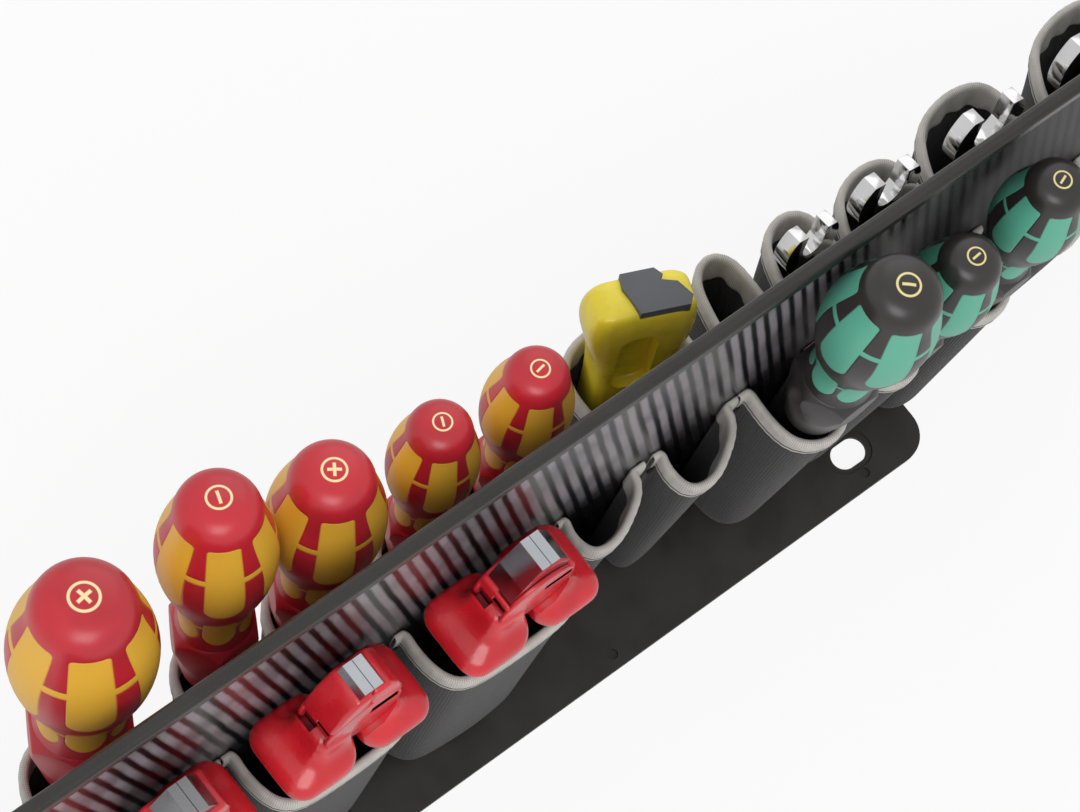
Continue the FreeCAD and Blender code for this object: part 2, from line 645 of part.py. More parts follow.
def make_stripper_body():
    body = plane_prism(STRIPPER, -STRIPPER_HALF, STRIPPER_HALF)
    across = [edge for edge in body.Edges if edge.BoundBox.YLength > STRIPPER_HALF]
    body = body.makeFillet(3.0, across)
    hollow = Part.makeCylinder(HOLLOW_R, HOLLOW_DEEP + 1.0, Vector(HOLLOW_X, -STRIPPER_HALF - 1.0, HOLLOW_LOW),
                               Vector(0, 1, 0))
    upper = hollow.copy()
    upper.translate(Vector(-HOLLOW_SLANT, 0, HOLLOW_RISE))
    hollow = hollow.fuse([upper, Part.makeBox(2 * HOLLOW_R - HOLLOW_SLANT, HOLLOW_DEEP + 1.0, HOLLOW_RISE,
                          Vector(HOLLOW_X - HOLLOW_R, -STRIPPER_HALF - 1.0, HOLLOW_LOW))])
    body = body.cut(hollow)
    return body.cut(insert_prism(STRIPPER_HIGH - INSERT_DEEP, STRIPPER_HIGH + 1))


def insert_prism(w_low, w_high):
    face = polygon_face([Vector(u, y, w_low) for u, y in INSERT])
    return face.extrude(Vector(0, 0, w_high - w_low))


def make_stripper_insert():
    return insert_prism(STRIPPER_HIGH - INSERT_DEEP, STRIPPER_HIGH + INSERT_PROUD)


def stand_wrench(shape, x, lean):
    """Lean a wrench in its pocket with its lower end against the board's face."""
    slope = math.radians(lean)
    out = FACE + SEAT + WRENCH_THICK / 2 / math.cos(slope)
    lift = STAND_Z + WRENCH_THICK / 2 * math.sin(slope)
    return stand(shape, x, out, lift, BACK, lean)


def export(shape, name):
    if not shape.isValid():
        print("not valid:", name)
    if len(shape.Solids) == 1:
        shape = shape.Solids[0]
    shape.exportStep("parts/%s.step" % name)
    print(name, len(shape.Solids), "solid(s)", round(shape.Volume / 1000.0, 2), "cm3")


def build():
    os.makedirs("parts", exist_ok=True)
    front = front_pockets()
    back = back_pockets()
    export(make_board(front + back), "board")
    export(make_trim(), "edge_trim")
    export(make_plate(), "foot_plate")
    for label, pockets in (("front", front), ("back", back)):
        tapes = []
        for index, pocket in enumerate(pockets):
            wall = make_pocket(pocket)
            export(wall, "%s_pocket_%d" % (label, index + 1))
            tapes.append(make_binding(pocket, wall))
        export(Part.makeCompound(tapes), "%s_binding" % label)
    rivets = [make_rivet(pocket, x, z) for pocket in front + back for x, z in rivet_spots(pocket)]
    export(Part.makeCompound(rivets), "rivets")
    for driver in DRIVERS:
        for part, shape in (("handle", make_handle(driver)), ("blade", make_blade(driver))):
            placed = stand(shape, driver.x, driver.out, driver.nose, driver.side, driver.lean)
            export(placed, "%s_%s" % (driver.name, part))
    pieces = (("jaw_left", make_pinned_half()), ("jaw_right", make_free_half()),
              ("grip_left", make_grip()), ("grip_right", half_turn(make_grip())))
    for index, x in enumerate(PLIERS_X):
        for part, shape in pieces:
            placed = stand(shape, x, PLIERS_OUT, PIVOT_Z, FRONT, 0.0)
            export(placed, "pliers_%d_%s" % (index + 1, part))
    for name, jaw, head_r, rise, x, lean in WRENCHES:
        export(stand_wrench(make_wrench(jaw, head_r, rise), x, lean), name)
    for part, shape in (("body", make_stripper_body()), ("insert", make_stripper_insert())):
        placed = stand(shape, STRIPPER_X, STRIPPER_OUT, STRIPPER_Z, BACK, STRIPPER_LEAN, STRIPPER_TURN)
        export(placed, "stripper_%s" % part)


build()
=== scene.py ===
import logging
import math
from collections.abc import Callable
from dataclasses import dataclass
from enum import Enum

import bmesh
import bpy
from mathutils import Matrix, Vector


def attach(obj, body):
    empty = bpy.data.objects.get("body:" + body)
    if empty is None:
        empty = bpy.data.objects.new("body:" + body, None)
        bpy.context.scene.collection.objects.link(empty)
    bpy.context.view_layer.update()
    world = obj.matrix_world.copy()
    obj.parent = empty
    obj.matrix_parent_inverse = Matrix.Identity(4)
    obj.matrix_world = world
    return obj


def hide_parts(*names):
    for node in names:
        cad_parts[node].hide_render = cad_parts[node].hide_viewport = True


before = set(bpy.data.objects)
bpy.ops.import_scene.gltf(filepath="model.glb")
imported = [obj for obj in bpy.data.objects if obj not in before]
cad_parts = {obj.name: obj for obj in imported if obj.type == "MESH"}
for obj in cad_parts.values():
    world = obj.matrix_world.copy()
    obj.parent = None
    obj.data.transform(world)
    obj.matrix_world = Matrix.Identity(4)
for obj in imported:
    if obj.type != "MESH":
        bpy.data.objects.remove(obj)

logging.basicConfig(level=logging.INFO, format="%(name)s: %(message)s")
LOG = logging.getLogger("tool_panel")

MM = 0.001
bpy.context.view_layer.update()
Path = list[tuple[float, float]]
Place = tuple[float, float, float]
Rgb = tuple[int, int, int]
Linear = tuple[float, ...]
Test = Callable[[Vector, Vector], bool]

FACE = 1.2
CLOTH = 1.4
POCKET_BASE = 7.7
POCKET_FLOOR = 9.1
SEAT = 0.3
MOUTH_Z = 94.0
EAR = 3.5
FOOT_GIVE = 0.9
TAPE_THICK = 0.7
TAPE_CAP = 0.9
TAPE_HIGH = 6.5
PLIERS_X = (-174.6, -116.5, -55.5)
PLIERS_OUT = 15.4
TINY = 1e-9


class Side(Enum):
    """Which face of the board a thing stands on, as the sign of its Y."""

    FRONT = -1
    BACK = 1


class Mouth(Enum):
    """The plan of a pocket's loop, as (share of its width, share of its depth)."""

    ROUND = ((0, 0), (-0.03, 0.42), (0.11, 0.84), (0.5, 1.0), (0.89, 0.84), (1.03, 0.42), (1, 0))
    WIDE = ((0, 0), (-0.015, 0.45), (0.07, 0.87), (0.28, 0.99), (0.5, 1.0),
            (0.72, 0.99), (0.93, 0.87), (1.015, 0.45), (1, 0))
    FULL = ((0, 0), (-0.08, 0.42), (0.03, 0.68), (0.2, 0.88), (0.5, 0.99), (0.78, 0.995),
            (1.02, 0.9), (1.11, 0.68), (1.08, 0.35), (1, 0))
    LIMP = ((0, 0), (-0.09, 0.5), (0.02, 0.9), (0.22, 0.98), (0.66, 0.72), (0.9, 0.42), (1, 0))


class TipMark(Enum):
    """The sign in the ring on a driver's cap."""

    CROSS = "cross"
    SLOT = "slot"


def srgb(red: int, green: int, blue: int) -> Linear:
    """A colour as a shader socket takes it.

    Args:
        red, green, blue: display values from 0 to 255.

    Returns:
        The linear colour with full alpha.
    """
    linear = []
    for value in (red, green, blue):
        share = value / 255
        linear.append(share / 12.92 if share <= 0.04045 else ((share + 0.055) / 1.055) ** 2.4)
    return (*linear, 1.0)


def shade(colour: Linear, share: float) -> Linear:
    """A linear colour made darker or lighter by a share, with full alpha."""
    return (*(min(1.0, value * share) for value in colour[:3]), 1.0)


class Value:
    """One output in a node tree, which takes part in plain arithmetic."""

    def __init__(self, graph: "Graph", socket: bpy.types.NodeSocket) -> None:
        """Keeps the graph and the socket that holds the value."""
        self.graph = graph
        self.socket = socket

    def __add__(self, other: "Feed") -> "Value":
        """The sum of two values."""
        return self.graph.math("ADD", self, other)

    def __sub__(self, other: "Feed") -> "Value":
        """The value less another."""
        return self.graph.math("SUBTRACT", self, other)

    def __mul__(self, other: "Feed") -> "Value":
        """The product of two values."""
        return self.graph.math("MULTIPLY", self, other)

    def __truediv__(self, other: "Feed") -> "Value":
        """The value divided by another."""
        return self.graph.math("DIVIDE", self, other)

    def __rtruediv__(self, other: float) -> "Value":
        """A number divided by the value."""
        return self.graph.math("DIVIDE", other, self)

    def __abs__(self) -> "Value":
        """The value without its sign."""
        return self.graph.math("ABSOLUTE", self)


Feed = Value | float | tuple | None


class Graph:
    """Adds nodes to one node tree and links what feeds them."""

    MIX_COLOURS = (6, 7)
    MIX_RESULT = 2

    def __init__(self, tree: bpy.types.NodeTree) -> None:
        """Keeps the tree to fill."""
        self.tree = tree

    def take(self, node: bpy.types.Node, output: str | int) -> Value:
        """One output of a node as a value."""
        return Value(self, node.outputs[output])

    def feed(self, socket: bpy.types.NodeSocket, feed: Feed) -> None:
        """Links a socket to a value, or sets it to a number or a colour."""
        if isinstance(feed, Value):
            self.tree.links.new(feed.socket, socket)
        elif feed is not None:
            socket.default_value = feed

    def fill(self, node: bpy.types.Node, **feeds: Feed) -> None:
        """Feeds a node's inputs by name (an underscore stands for a space)."""
        for key, value in feeds.items():
            self.feed(node.inputs[key.replace("_", " ")], value)

    def add(self, kind: str, *feeds: Feed, **settings: object) -> bpy.types.Node:
        """A new node.

        Args:
            kind: the node's type, without its ShaderNode prefix.
            feeds: values for its inputs, in order.
            settings: the node's own options.

        Returns:
            The node.
        """
        node = self.tree.nodes.new("ShaderNode" + kind)
        for key, value in settings.items():
            setattr(node, key, value)
        for index, feed in enumerate(feeds):
            self.feed(node.inputs[index], feed)
        return node

    def math(self, operation: str, *feeds: Feed) -> Value:
        """The result of one Math node."""
        return self.take(self.add("Math", *feeds, operation=operation), 0)

    def sine(self, turns: Value) -> Value:
        """The sine of a number of whole turns."""
        return self.math("SINE", turns * math.tau)

    def most(self, one: Feed, other: Feed) -> Value:
        """The larger of two values."""
        return self.math("MAXIMUM", one, other)

    def least(self, one: Feed, other: Feed) -> Value:
        """The smaller of two values."""
        return self.math("MINIMUM", one, other)

    def length(self, x: Value, y: Value) -> Value:
        """The length of a flat vector."""
        return self.math("SQRT", x * x + y * y)

    def step(self, value: Feed, low: float, high: float, bottom: float = 0.0, top: float = 1.0) -> Value:
        """A smooth step of a value from low to high, to between bottom and top."""
        node = self.add("MapRange", value, low, high, bottom, top, interpolation_type="SMOOTHSTEP")
        return self.take(node, 0)

    def mix(self, share: Feed, low: Feed, high: Feed) -> Value:
        """A blend of two colours by a share."""
        node = self.add("Mix", share, data_type="RGBA")
        for index, colour in zip(self.MIX_COLOURS, (low, high)):
            self.feed(node.inputs[index], colour)
        return self.take(node, self.MIX_RESULT)

    def noise(self, place: Feed, scale: float, detail: float = 2.0) -> Value:
        """A noise value at a place, about 0.5 in the mean."""
        return self.take(self.add("TexNoise", place, None, scale, detail), 0)

    def millimetres(self) -> Value:
        """Object coordinates in millimetres."""
        scaled = self.add("VectorMath", self.take(self.add("TexCoord"), "Object"), operation="SCALE")
        self.fill(scaled, Scale=1 / MM)
        return self.take(scaled, 0)

    def attribute(self, name: str) -> Value:
        """The vector of a piece's own attribute."""
        return self.take(self.add("Attribute", attribute_name=name), "Vector")

    def split(self, vector: Feed) -> list[Value]:
        """The three parts of a vector."""
        node = self.add("SeparateXYZ", vector)
        return [self.take(node, axis) for axis in range(3)]

    def group(self, tree: bpy.types.NodeTree, **feeds: Feed) -> dict[str, Value]:
        """The outputs of a group node, by name, with its inputs fed by name."""
        node = self.tree.nodes.new("ShaderNodeGroup")
        node.node_tree = tree
        self.fill(node, **feeds)
        return {output.name: Value(self, output) for output in node.outputs}

    def bump(self, height: Feed, relief: float, strength: float = 1.0, normal: Feed = None) -> Value:
        """A normal that follows a height, with its relief in millimetres."""
        node = self.add("Bump")
        self.fill(node, Strength=strength, Distance=relief * MM, Height=height, Normal=normal)
        return self.take(node, 0)


def new_group(name: str, inputs: dict[str, str], outputs: list[str]) -> tuple[
        Graph, dict[str, Value], bpy.types.Node]:
    """An empty node group.

    Args:
        name: the group's name.
        inputs: each input's name and its kind, Float or Vector.
        outputs: the names of its outputs, which are all numbers.

    Returns:
        The group's graph, its inputs by name and its output node.
    """
    tree = bpy.data.node_groups.new(name, "ShaderNodeTree")
    for key, kind in inputs.items():
        tree.interface.new_socket(name=key, in_out="INPUT", socket_type="NodeSocket" + kind)
    for key in outputs:
        tree.interface.new_socket(name=key, in_out="OUTPUT", socket_type="NodeSocketFloat")
    graph = Graph(tree)
    entry = tree.nodes.new("NodeGroupInput")
    return graph, {key: graph.take(entry, key) for key in inputs}, tree.nodes.new("NodeGroupOutput")


def grain_group() -> bpy.types.NodeTree:
    """A group for fine moulded or leathery grain with slow patches in it.

    Returns:
        The group, with the outputs Height and Patches.
    """
    g, given, leave = new_group("grain", {"Place": "Vector", "Size": "Float"}, ["Height", "Patches"])
    place, density = given["Place"], 1.0 / given["Size"]
    fine = g.take(g.add("TexNoise", place, None, density, 3.0, 0.6), 0)
    cells = g.take(g.add("TexVoronoi", place, None, density), 0)
    slow = g.noise(place, 0.05, 3.0)
    g.fill(leave, Height=fine * 0.7 + cells * 0.3, Patches=g.step(slow, 0.35, 0.65))
    return g.tree


def weave_group() -> bpy.types.NodeTree:
    """A group for a ribbed weave that follows a piece's own cloth coordinates, with painted shade in the
    gaps between its ribs.

    Returns:
        The group, with the outputs Height and the share of painted shade in the gaps.
    """
    g, given, leave = new_group(
        "weave", {"Place": "Vector", "Rib": "Float", "Thread": "Float"}, ["Height", "Gaps"])
    along, up, _ = g.split(given["Place"])
    rib = abs(g.sine(along / given["Rib"] * 0.5))
    thread = abs(g.sine(up / given["Thread"] * 0.5))
    height = rib * 0.65 + thread * 0.35
    # the low places between the ribs get painted shade
    g.fill(leave, Height=height, Gaps=g.step(height, 0.45, 0.15))
    return g.tree


def inlay_group() -> bpy.types.NodeTree:
    """A group for one inlaid panel: a rounded box whose lower corners are rounder.

    Returns:
        The group, with the output Distance, below zero inside the panel.
    """
    names = ("Across", "Up", "Half width", "Half height", "Round low", "Round high")
    g, given, leave = new_group("inlay", {name: "Float" for name in names}, ["Distance"])
    across, up, wide, high, low_round, high_round = (given[name] for name in names)
    corner = low_round + g.math("GREATER_THAN", up, 0.0) * (high_round - low_round)
    x = abs(across) - wide + corner
    y = abs(up) - high + corner
    outside = g.length(g.most(x, 0.0), g.most(y, 0.0))
    inside = g.least(g.most(x, y), 0.0)
    g.fill(leave, Distance=outside + inside - corner)
    return g.tree


class Groups:
    """The node groups that several finishes share."""

    def __init__(self) -> None:
        """Builds each group once."""
        self.grain = grain_group()
        self.weave = weave_group()
        self.inlay = inlay_group()


def new_material(name: str) -> tuple[bpy.types.Material, Graph, bpy.types.Node]:
    """A material with its Principled shader.

    Args:
        name: the material's name.

    Returns:
        The material, its graph and the shader node.
    """
    material = bpy.data.materials.new(name)
    material.use_nodes = True
    graph = Graph(material.node_tree)
    return material, graph, material.node_tree.nodes["Principled BSDF"]


@dataclass(frozen=True)
class Moulded:
    """A moulded plastic or rubber finish: one colour with fine grain and slow gloss changes."""

    name: str
    colour: Rgb
    roughness: float = 0.4
    grain: float = 0.6
    relief: float = 0.03
    coat: float = 0.0
    shift: float = 0.12
    gloss_change: float = 0.15

    def make(self, groups: Groups) -> bpy.types.Material:
        """Builds the material.

        Args:
            groups: the shared node groups.

        Returns:
            The material.
        """
        material, g, shader = new_material(self.name)
        grain = g.group(groups.grain, Place=g.millimetres(), Size=self.grain)
        base = srgb(*self.colour)
        colour = g.mix(grain["Patches"], shade(base, 1 - self.shift), shade(base, 1 + self.shift))
        rough = g.step(grain["Patches"], 0.0, 1.0, self.roughness * (1 - self.gloss_change),
                       self.roughness * (1 + self.gloss_change))
        g.fill(shader, Base_Color=colour, Roughness=rough, Coat_Weight=self.coat, Coat_Roughness=0.12,
               Normal=g.bump(grain["Height"], self.relief))
        return material


@dataclass(frozen=True)
class Polished:
    """A plated or ground steel finish with fine brush lines and light smudges."""

    name: str
    colour: Rgb
    roughness: float = 0.16
    lines: float = 0.25
    line_stretch: float = 0.06
    smudge_size: float = 2.0

    def make(self, groups: Groups) -> bpy.types.Material:
        """Builds the material.

        Args:
            groups: the shared node groups.

        Returns:
            The material.
        """
        material, g, shader = new_material(self.name)
        place = g.millimetres()
        stretched = g.add("Mapping", place)
        g.fill(stretched, Scale=(1.0, 1.0, self.line_stretch))
        brushed = g.noise(g.take(stretched, 0), 1 / self.lines, 2.0)
        smudge = g.group(groups.grain, Place=place, Size=self.smudge_size)["Patches"]
        base = srgb(*self.colour)
        share = self.roughness * 0.7
        g.fill(shader, Base_Color=g.mix(smudge, shade(base, 0.86), base), Metallic=1.0,
               Roughness=brushed * share + smudge * share, Normal=g.bump(brushed, 0.012))
        return material


@dataclass(frozen=True)
class Woven:
    """A cloth finish: ribs along and across the cloth with painted shade in the gaps between them, and dusty
    high places.

    A groove is a dark line of painted shade along the cloth, from one height on it to another.
    """

    name: str
    colour: Rgb
    # the colour of the painted shade in the rib gaps and in the groove
    gap_shade: Rgb
    rib: float
    thread: float
    relief: float = 0.12
    roughness: float = 0.85
    sheen: float = 0.15
    groove: tuple[float, float] | None = None

    def make(self, groups: Groups) -> bpy.types.Material:
        """Builds the material.

        Args:
            groups: the shared node groups.

        Returns:
            The material.
        """
        material, g, shader = new_material(self.name)
        own = g.attribute("cloth")
        weave = g.group(groups.weave, Place=own, Rib=self.rib, Thread=self.thread)
        slow = g.step(g.noise(own, 0.12, 3.0), 0.3, 0.7)
        base, gap_shade = srgb(*self.colour), srgb(*self.gap_shade)
        cloth = g.mix(slow, base, shade(base, 1.3))
        # painted shade in the groove, in the same shade colour as the rib gaps
        if self.groove:
            low, high = self.groove
            up = g.split(own)[1]
            inside = g.step(up, low - 0.15, low + 0.1) * g.step(up, high + 0.15, high - 0.1)
            cloth = g.mix(inside, cloth, gap_shade)
        # painted shade: the gaps between the ribs are darkened to the shade colour
        g.fill(shader, Base_Color=g.mix(weave["Gaps"], cloth, gap_shade),
               Roughness=g.step(slow, 0.0, 1.0, self.roughness * 0.92, self.roughness),
               Sheen_Weight=self.sheen, Specular_IOR_Level=0.3,
               Normal=g.bump(weave["Height"], self.relief, 0.8))
        return material


@dataclass(frozen=True)
class BandedFace:
    """The board's face: a glossy dark laminate with pale slanted bands of short fibres, faded out low down
    as painted shade near the pockets.
    """

    name: str
    dark: Rgb = (22, 21, 23)
    pale: Rgb = (168, 160, 166)
    pitch: float = 4.65
    tilt: float = 19.0
    fibre: float = 0.62
    fibre_rise: float = 0.94
    fibre_run: float = 0.34
    wobble: float = 0.8
    tooth: float = 0.5
    # painted shade: the pale bands fade out towards the board's foot, near the pockets
    low_shade_fade: tuple[float, float] = (84.0, 126.0)
    right_fade: tuple[float, float] = (40.0, 120.0)
    dull_fade: tuple[float, float] = (60.0, 150.0)

    def make(self, groups: Groups) -> bpy.types.Material:
        """Builds the material.

        Args:
            groups: the shared node groups, of which this finish needs none.

        Returns:
            The material.
        """
        material, g, shader = new_material(self.name)
        place = g.millimetres()
        x, _, z = g.split(place)
        slope = math.tan(math.radians(self.tilt))
        band = x + z * slope + g.noise(place, 0.05, 2.0) * self.wobble
        fibre = g.sine((z * self.fibre_rise - x * self.fibre_run) / self.fibre)
        stripe = g.step(g.sine(band / self.pitch) + fibre * self.tooth, -0.25, 0.2)
        hatch = g.step(fibre, -0.5, 0.3, 0.35, 1.0)
        uneven = g.step(g.noise(place, 0.035, 2.0), 0.36, 0.6, 0.55, 1.0)
        # painted shade near the pockets: the bands fade out low on the board
        low = g.step(z, *self.low_shade_fade, 0.1, 1.0)
        right = g.step(x, *self.right_fade, 1.0, 0.12)
        mask = stripe * hatch * (uneven * low * right)
        dull = g.step(x, *self.dull_fade, 0.26, 0.55)
        g.fill(shader, Base_Color=g.mix(mask, srgb(*self.dark), srgb(*self.pale)),
               Roughness=dull + mask * 0.16, Specular_IOR_Level=0.36, Normal=g.bump(mask, 0.05))
        return material


@dataclass(frozen=True)
class PanelRing:
    """One ring of inlaid panels joined by a thin bridge, in shares of the handle's length."""

    middle: float
    half: float
    bridge: float


@dataclass(frozen=True)
class TwoTone:
    """A driver handle's finish: a base colour, inlaid panels round it with painted shade in the groove along
    their edges, and a sign on its cap.

    The pattern reads the piece's own attribute "local": across and along the handle, in
    shares of its bulge radius, with the nose at zero.
    """

    name: str
    base: Rgb
    inlay: Rgb
    mark: Rgb
    sign: TipMark
    length: float
    turn: float = 0.0
    panels: int = 6
    panel_half: float = 0.335
    lower_half: float = 0.285
    bridge_half: float = 0.06
    hoop_r: float = 0.2
    hoop_half: float = 0.018
    sign_half: float = 0.115
    stroke_half: float = 0.024

    UPPER = PanelRing(0.768, 0.152, 0.80)
    LOWER = PanelRing(0.425, 0.078, 0.452)
    CAP_FROM = (0.95, 0.955)

    def panel_ring(self, g: Graph, groups: Groups, across: Value, up: Value, ring: PanelRing,
                   wide: Value | float) -> Value:
        """One ring of panels with its bridge.

        Args:
            g: the material's graph.
            groups: the shared node groups.
            across, up: the surface's place in the panel and along the handle.
            ring: where the ring lies.
            wide: the panels' half width.

        Returns:
            The distance from the ring's nearest edge, below zero inside.
        """
        panel = g.group(groups.inlay, Across=across, Up=up - self.length * ring.middle, Half_width=wide,
                        Half_height=self.length * ring.half, Round_low=wide * 0.96, Round_high=0.07)
        beam = abs(up - self.length * ring.bridge) - self.bridge_half
        return g.least(panel["Distance"], beam)

    def cap_sign(self, g: Graph, x: Value, y: Value, girth: Value) -> Value:
        """The distance from the ring and the sign on the cap, below zero inside."""
        hoop = abs(girth - self.hoop_r) - self.hoop_half
        cosine, sine = math.cos(math.radians(self.turn)), math.sin(math.radians(self.turn))
        along, aside = abs(x * cosine + y * sine), abs(y * cosine - x * sine)
        sign = g.most(along - self.sign_half, aside - self.stroke_half)
        if self.sign is TipMark.CROSS:
            sign = g.least(sign, g.most(along - self.stroke_half, aside - self.sign_half))
        return g.least(hoop, sign)

    def make(self, groups: Groups) -> bpy.types.Material:
        """Builds the material.

        Args:
            groups: the shared node groups.

        Returns:
            The material.
        """
        material, g, shader = new_material(self.name)
        x, y, up = g.split(g.attribute("local"))
        girth = g.length(x, y)
        turns = g.math("ARCTAN2", y, x) * (self.panels / math.tau)
        within = g.math("FRACT", turns + (self.panels + 0.5)) - 0.5
        across = within * girth * (math.tau / self.panels)
        wide = g.math("POWER", girth, 0.6) * self.panel_half
        upper = self.panel_ring(g, groups, across, up, self.UPPER, wide)
        lower = self.panel_ring(g, groups, across, up, self.LOWER, self.lower_half)
        ring = g.least(upper, lower)
        inlaid = g.step(ring, 0.008, -0.008)
        groove = g.step(abs(ring), 0.022, 0.0)
        on_cap = g.step(up, *(self.length * share for share in self.CAP_FROM))
        marked = g.step(self.cap_sign(g, x, y, girth), 0.01, -0.006) * on_cap
        grain = g.group(groups.grain, Place=g.millimetres(), Size=0.5)
        base = srgb(*self.base)
        deep = shade(base, 0.82)
        colour = g.mix(inlaid, g.mix(grain["Patches"], deep, base), srgb(*self.inlay))
        # painted shade: the groove round the panels is darkened towards the deeper base colour
        colour = g.mix(groove * 0.35, colour, deep)
        g.fill(shader, Base_Color=g.mix(marked, colour, srgb(*self.mark)),
               Roughness=g.step(inlaid, 0.0, 1.0, 0.34, 0.46), Coat_Weight=0.15, Coat_Roughness=0.25,
               Normal=g.bump(grain["Height"], 0.02, 1.0, g.bump(groove, -0.12)))
        return material


def active(obj: bpy.types.Object) -> None:
    """Selects one object alone and makes it active."""
    bpy.ops.object.select_all(action="DESELECT")
    obj.select_set(True)
    bpy.context.view_layer.objects.active = obj


def apply_modifier(obj: bpy.types.Object, kind: str, **settings: object) -> None:
    """Adds one modifier to an object and applies it.

    Args:
        obj: the object.
        kind: the modifier's type.
        settings: its options.
    """
    active(obj)
    modifier = obj.modifiers.new(kind.lower(), kind)
    for key, value in settings.items():
        setattr(modifier, key, value)
    bpy.ops.object.modifier_apply(modifier=modifier.name)


def settle(obj: bpy.types.Object, material: bpy.types.Material, body: str = "panel",
           stands_for: tuple[str, ...] = ()) -> None:
    """Gives a finished piece its material and its place in the frame, and reports it.

    Args:
        obj: the piece.
        material: its finish.
        body: the body it moves with.
        stands_for: the frame's nodes that it replaces.
    """
    obj.data.materials.clear()
    obj.data.materials.append(material)
    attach(obj, body)
    if stands_for:
        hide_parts(*stands_for)
    LOG.info("%s: %d faces", obj.name, len(obj.data.polygons))


def dress(node: str, material: bpy.types.Material) -> None:
    """Puts a finish on one of the frame's own nodes.

    Args:
        node: the node's name.
        material: its finish.
    """
    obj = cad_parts[node]
    if not obj.material_slots:
        obj.data.materials.append(None)
    for held in obj.material_slots:
        held.material = material
    LOG.info("%s: dressed in %s", node, material.name)


def curve_through(points: Path, steps: int, passes: int = 60) -> Path:
    """A smooth curve through points, with chord lengths as its parameter.

    Args:
        points: the points, at least four.
        steps: how many samples each span gets.
        passes: how often the slopes are settled.

    Returns:
        The samples, first and last point included.
    """
    places = [Vector((x, y)) for x, y in points]
    spans = [(after - before).length for before, after in zip(places, places[1:])]
    at = [0.0]
    for span in spans:
        at.append(at[-1] + span)

    def end_slope(indices: list[int]) -> Vector:
        """The slope at the first index of the cubic through four points."""
        first = indices[0]
        slope = Vector((0.0, 0.0))
        for one in indices:
            weight = 0.0
            if one == first:
                weight = sum(1 / (at[first] - at[other]) for other in indices if other != first)
            else:
                others = [other for other in indices if other not in (one, first)]
                weight = 1 / (at[one] - at[first])
                for other in others:
                    weight *= (at[first] - at[other]) / (at[one] - at[other])
            slope += places[one] * weight
        return slope

    last = len(places) - 1
    slopes = [Vector((0.0, 0.0)) for _ in places]
    slopes[0] = end_slope([0, 1, 2, 3])
    slopes[last] = end_slope([last, last - 1, last - 2, last - 3])
    for _ in range(passes):
        for k in range(1, last):
            before, after = spans[k - 1], spans[k]
            pull = 3 * ((places[k] - places[k - 1]) / before ** 2 + (places[k + 1] - places[k]) / after ** 2)
            slopes[k] = (pull - slopes[k - 1] / before - slopes[k + 1] / after) / (2 / before + 2 / after)
    samples: Path = []
    for k, span in enumerate(spans):
        for step in range(steps):
            t = step / steps
            place = (places[k] * (2 * t ** 3 - 3 * t ** 2 + 1) + slopes[k] * span * (t ** 3 - 2 * t ** 2 + t)
                     + places[k + 1] * (3 * t ** 2 - 2 * t ** 3) + slopes[k + 1] * span * (t ** 3 - t ** 2))
            samples.append((place.x, place.y))
    samples.append(tuple(places[-1]))
    return samples


def shifted(path: Path, shifts: list[float]) -> Path:
    """A path whose points move to its left side, each by its own shift, which may be below zero.

    Args:
        path: the points.
        shifts: each point's shift.

    Returns:
        The moved points.
    """
    moved = []
    for k, ((x, y), shift) in enumerate(zip(path, shifts)):
        before, after = path[max(k - 1, 0)], path[min(k + 1, len(path) - 1)]
        run = Vector((after[0] - before[0], after[1] - before[1])).normalized()
        moved.append((x - run.y * shift, y + run.x * shift))
    return moved


def path_length(path: Path) -> float:
    """The length of a path."""
    return sum(math.dist(before, after) for before, after in zip(path, path[1:]))


def evenly(path: Path, count: int) -> Path:
    """Points spaced evenly along a path.

    Args:
        path: the path's own points.
        count: how many points to give back.

    Returns:
        The points.
    """
    reach = [0.0]
    for before, after in zip(path, path[1:]):
        reach.append(reach[-1] + math.dist(before, after))
    spaced: Path = []
    k = 0
    for step in range(count):
        target = reach[-1] * step / (count - 1)
        while k < len(path) - 2 and reach[k + 1] < target:
            k += 1
        share = (target - reach[k]) / max(reach[k + 1] - reach[k], TINY)
        spaced.append((path[k][0] + (path[k + 1][0] - path[k][0]) * share,
                       path[k][1] + (path[k + 1][1] - path[k][1]) * share))
    return spaced


def shares(count: int) -> list[float]:
    """Shares from 0 to 1, evenly spaced."""
    return [k / (count - 1) for k in range(count)]


def grid_sheet(name: str, rows: list[list[Vector]], across: list[float], up: list[float],
               thick: float, flip: bool) -> bpy.types.Object:
    """A cloth from rows of points, with thickness and its own cloth coordinates.

    Args:
        name: the piece's name.
        rows: rows of points in millimetres, from foot to top.
        across, up: each column's and each row's place on the flat cloth, in millimetres.
        thick: the cloth's thickness in millimetres.
        flip: turns the faces over.

    Returns:
        The piece.
    """
    mesh = bpy.data.meshes.new(name)
    wide = len(rows[0])
    verts = [point * MM for row in rows for point in row]
    faces = []
    for j in range(len(rows) - 1):
        for i in range(wide - 1):
            quad = (j * wide + i, j * wide + i + 1, (j + 1) * wide + i + 1, (j + 1) * wide + i)
            faces.append(quad[::-1] if flip else quad)
    mesh.from_pydata(verts, [], faces)
    layer = mesh.attributes.new("cloth", "FLOAT_VECTOR", "POINT")
    for j in range(len(rows)):
        for i in range(wide):
            layer.data[j * wide + i].vector = (across[i], up[j], 0.0)
    obj = bpy.data.objects.new(name, mesh)
    bpy.context.scene.collection.objects.link(obj)
    apply_modifier(obj, "SOLIDIFY", thickness=thick * MM, offset=0.0, use_even_offset=False)
    apply_modifier(obj, "SUBSURF", levels=1, render_levels=1)
    active(obj)
    bpy.ops.object.shade_smooth()
    return obj


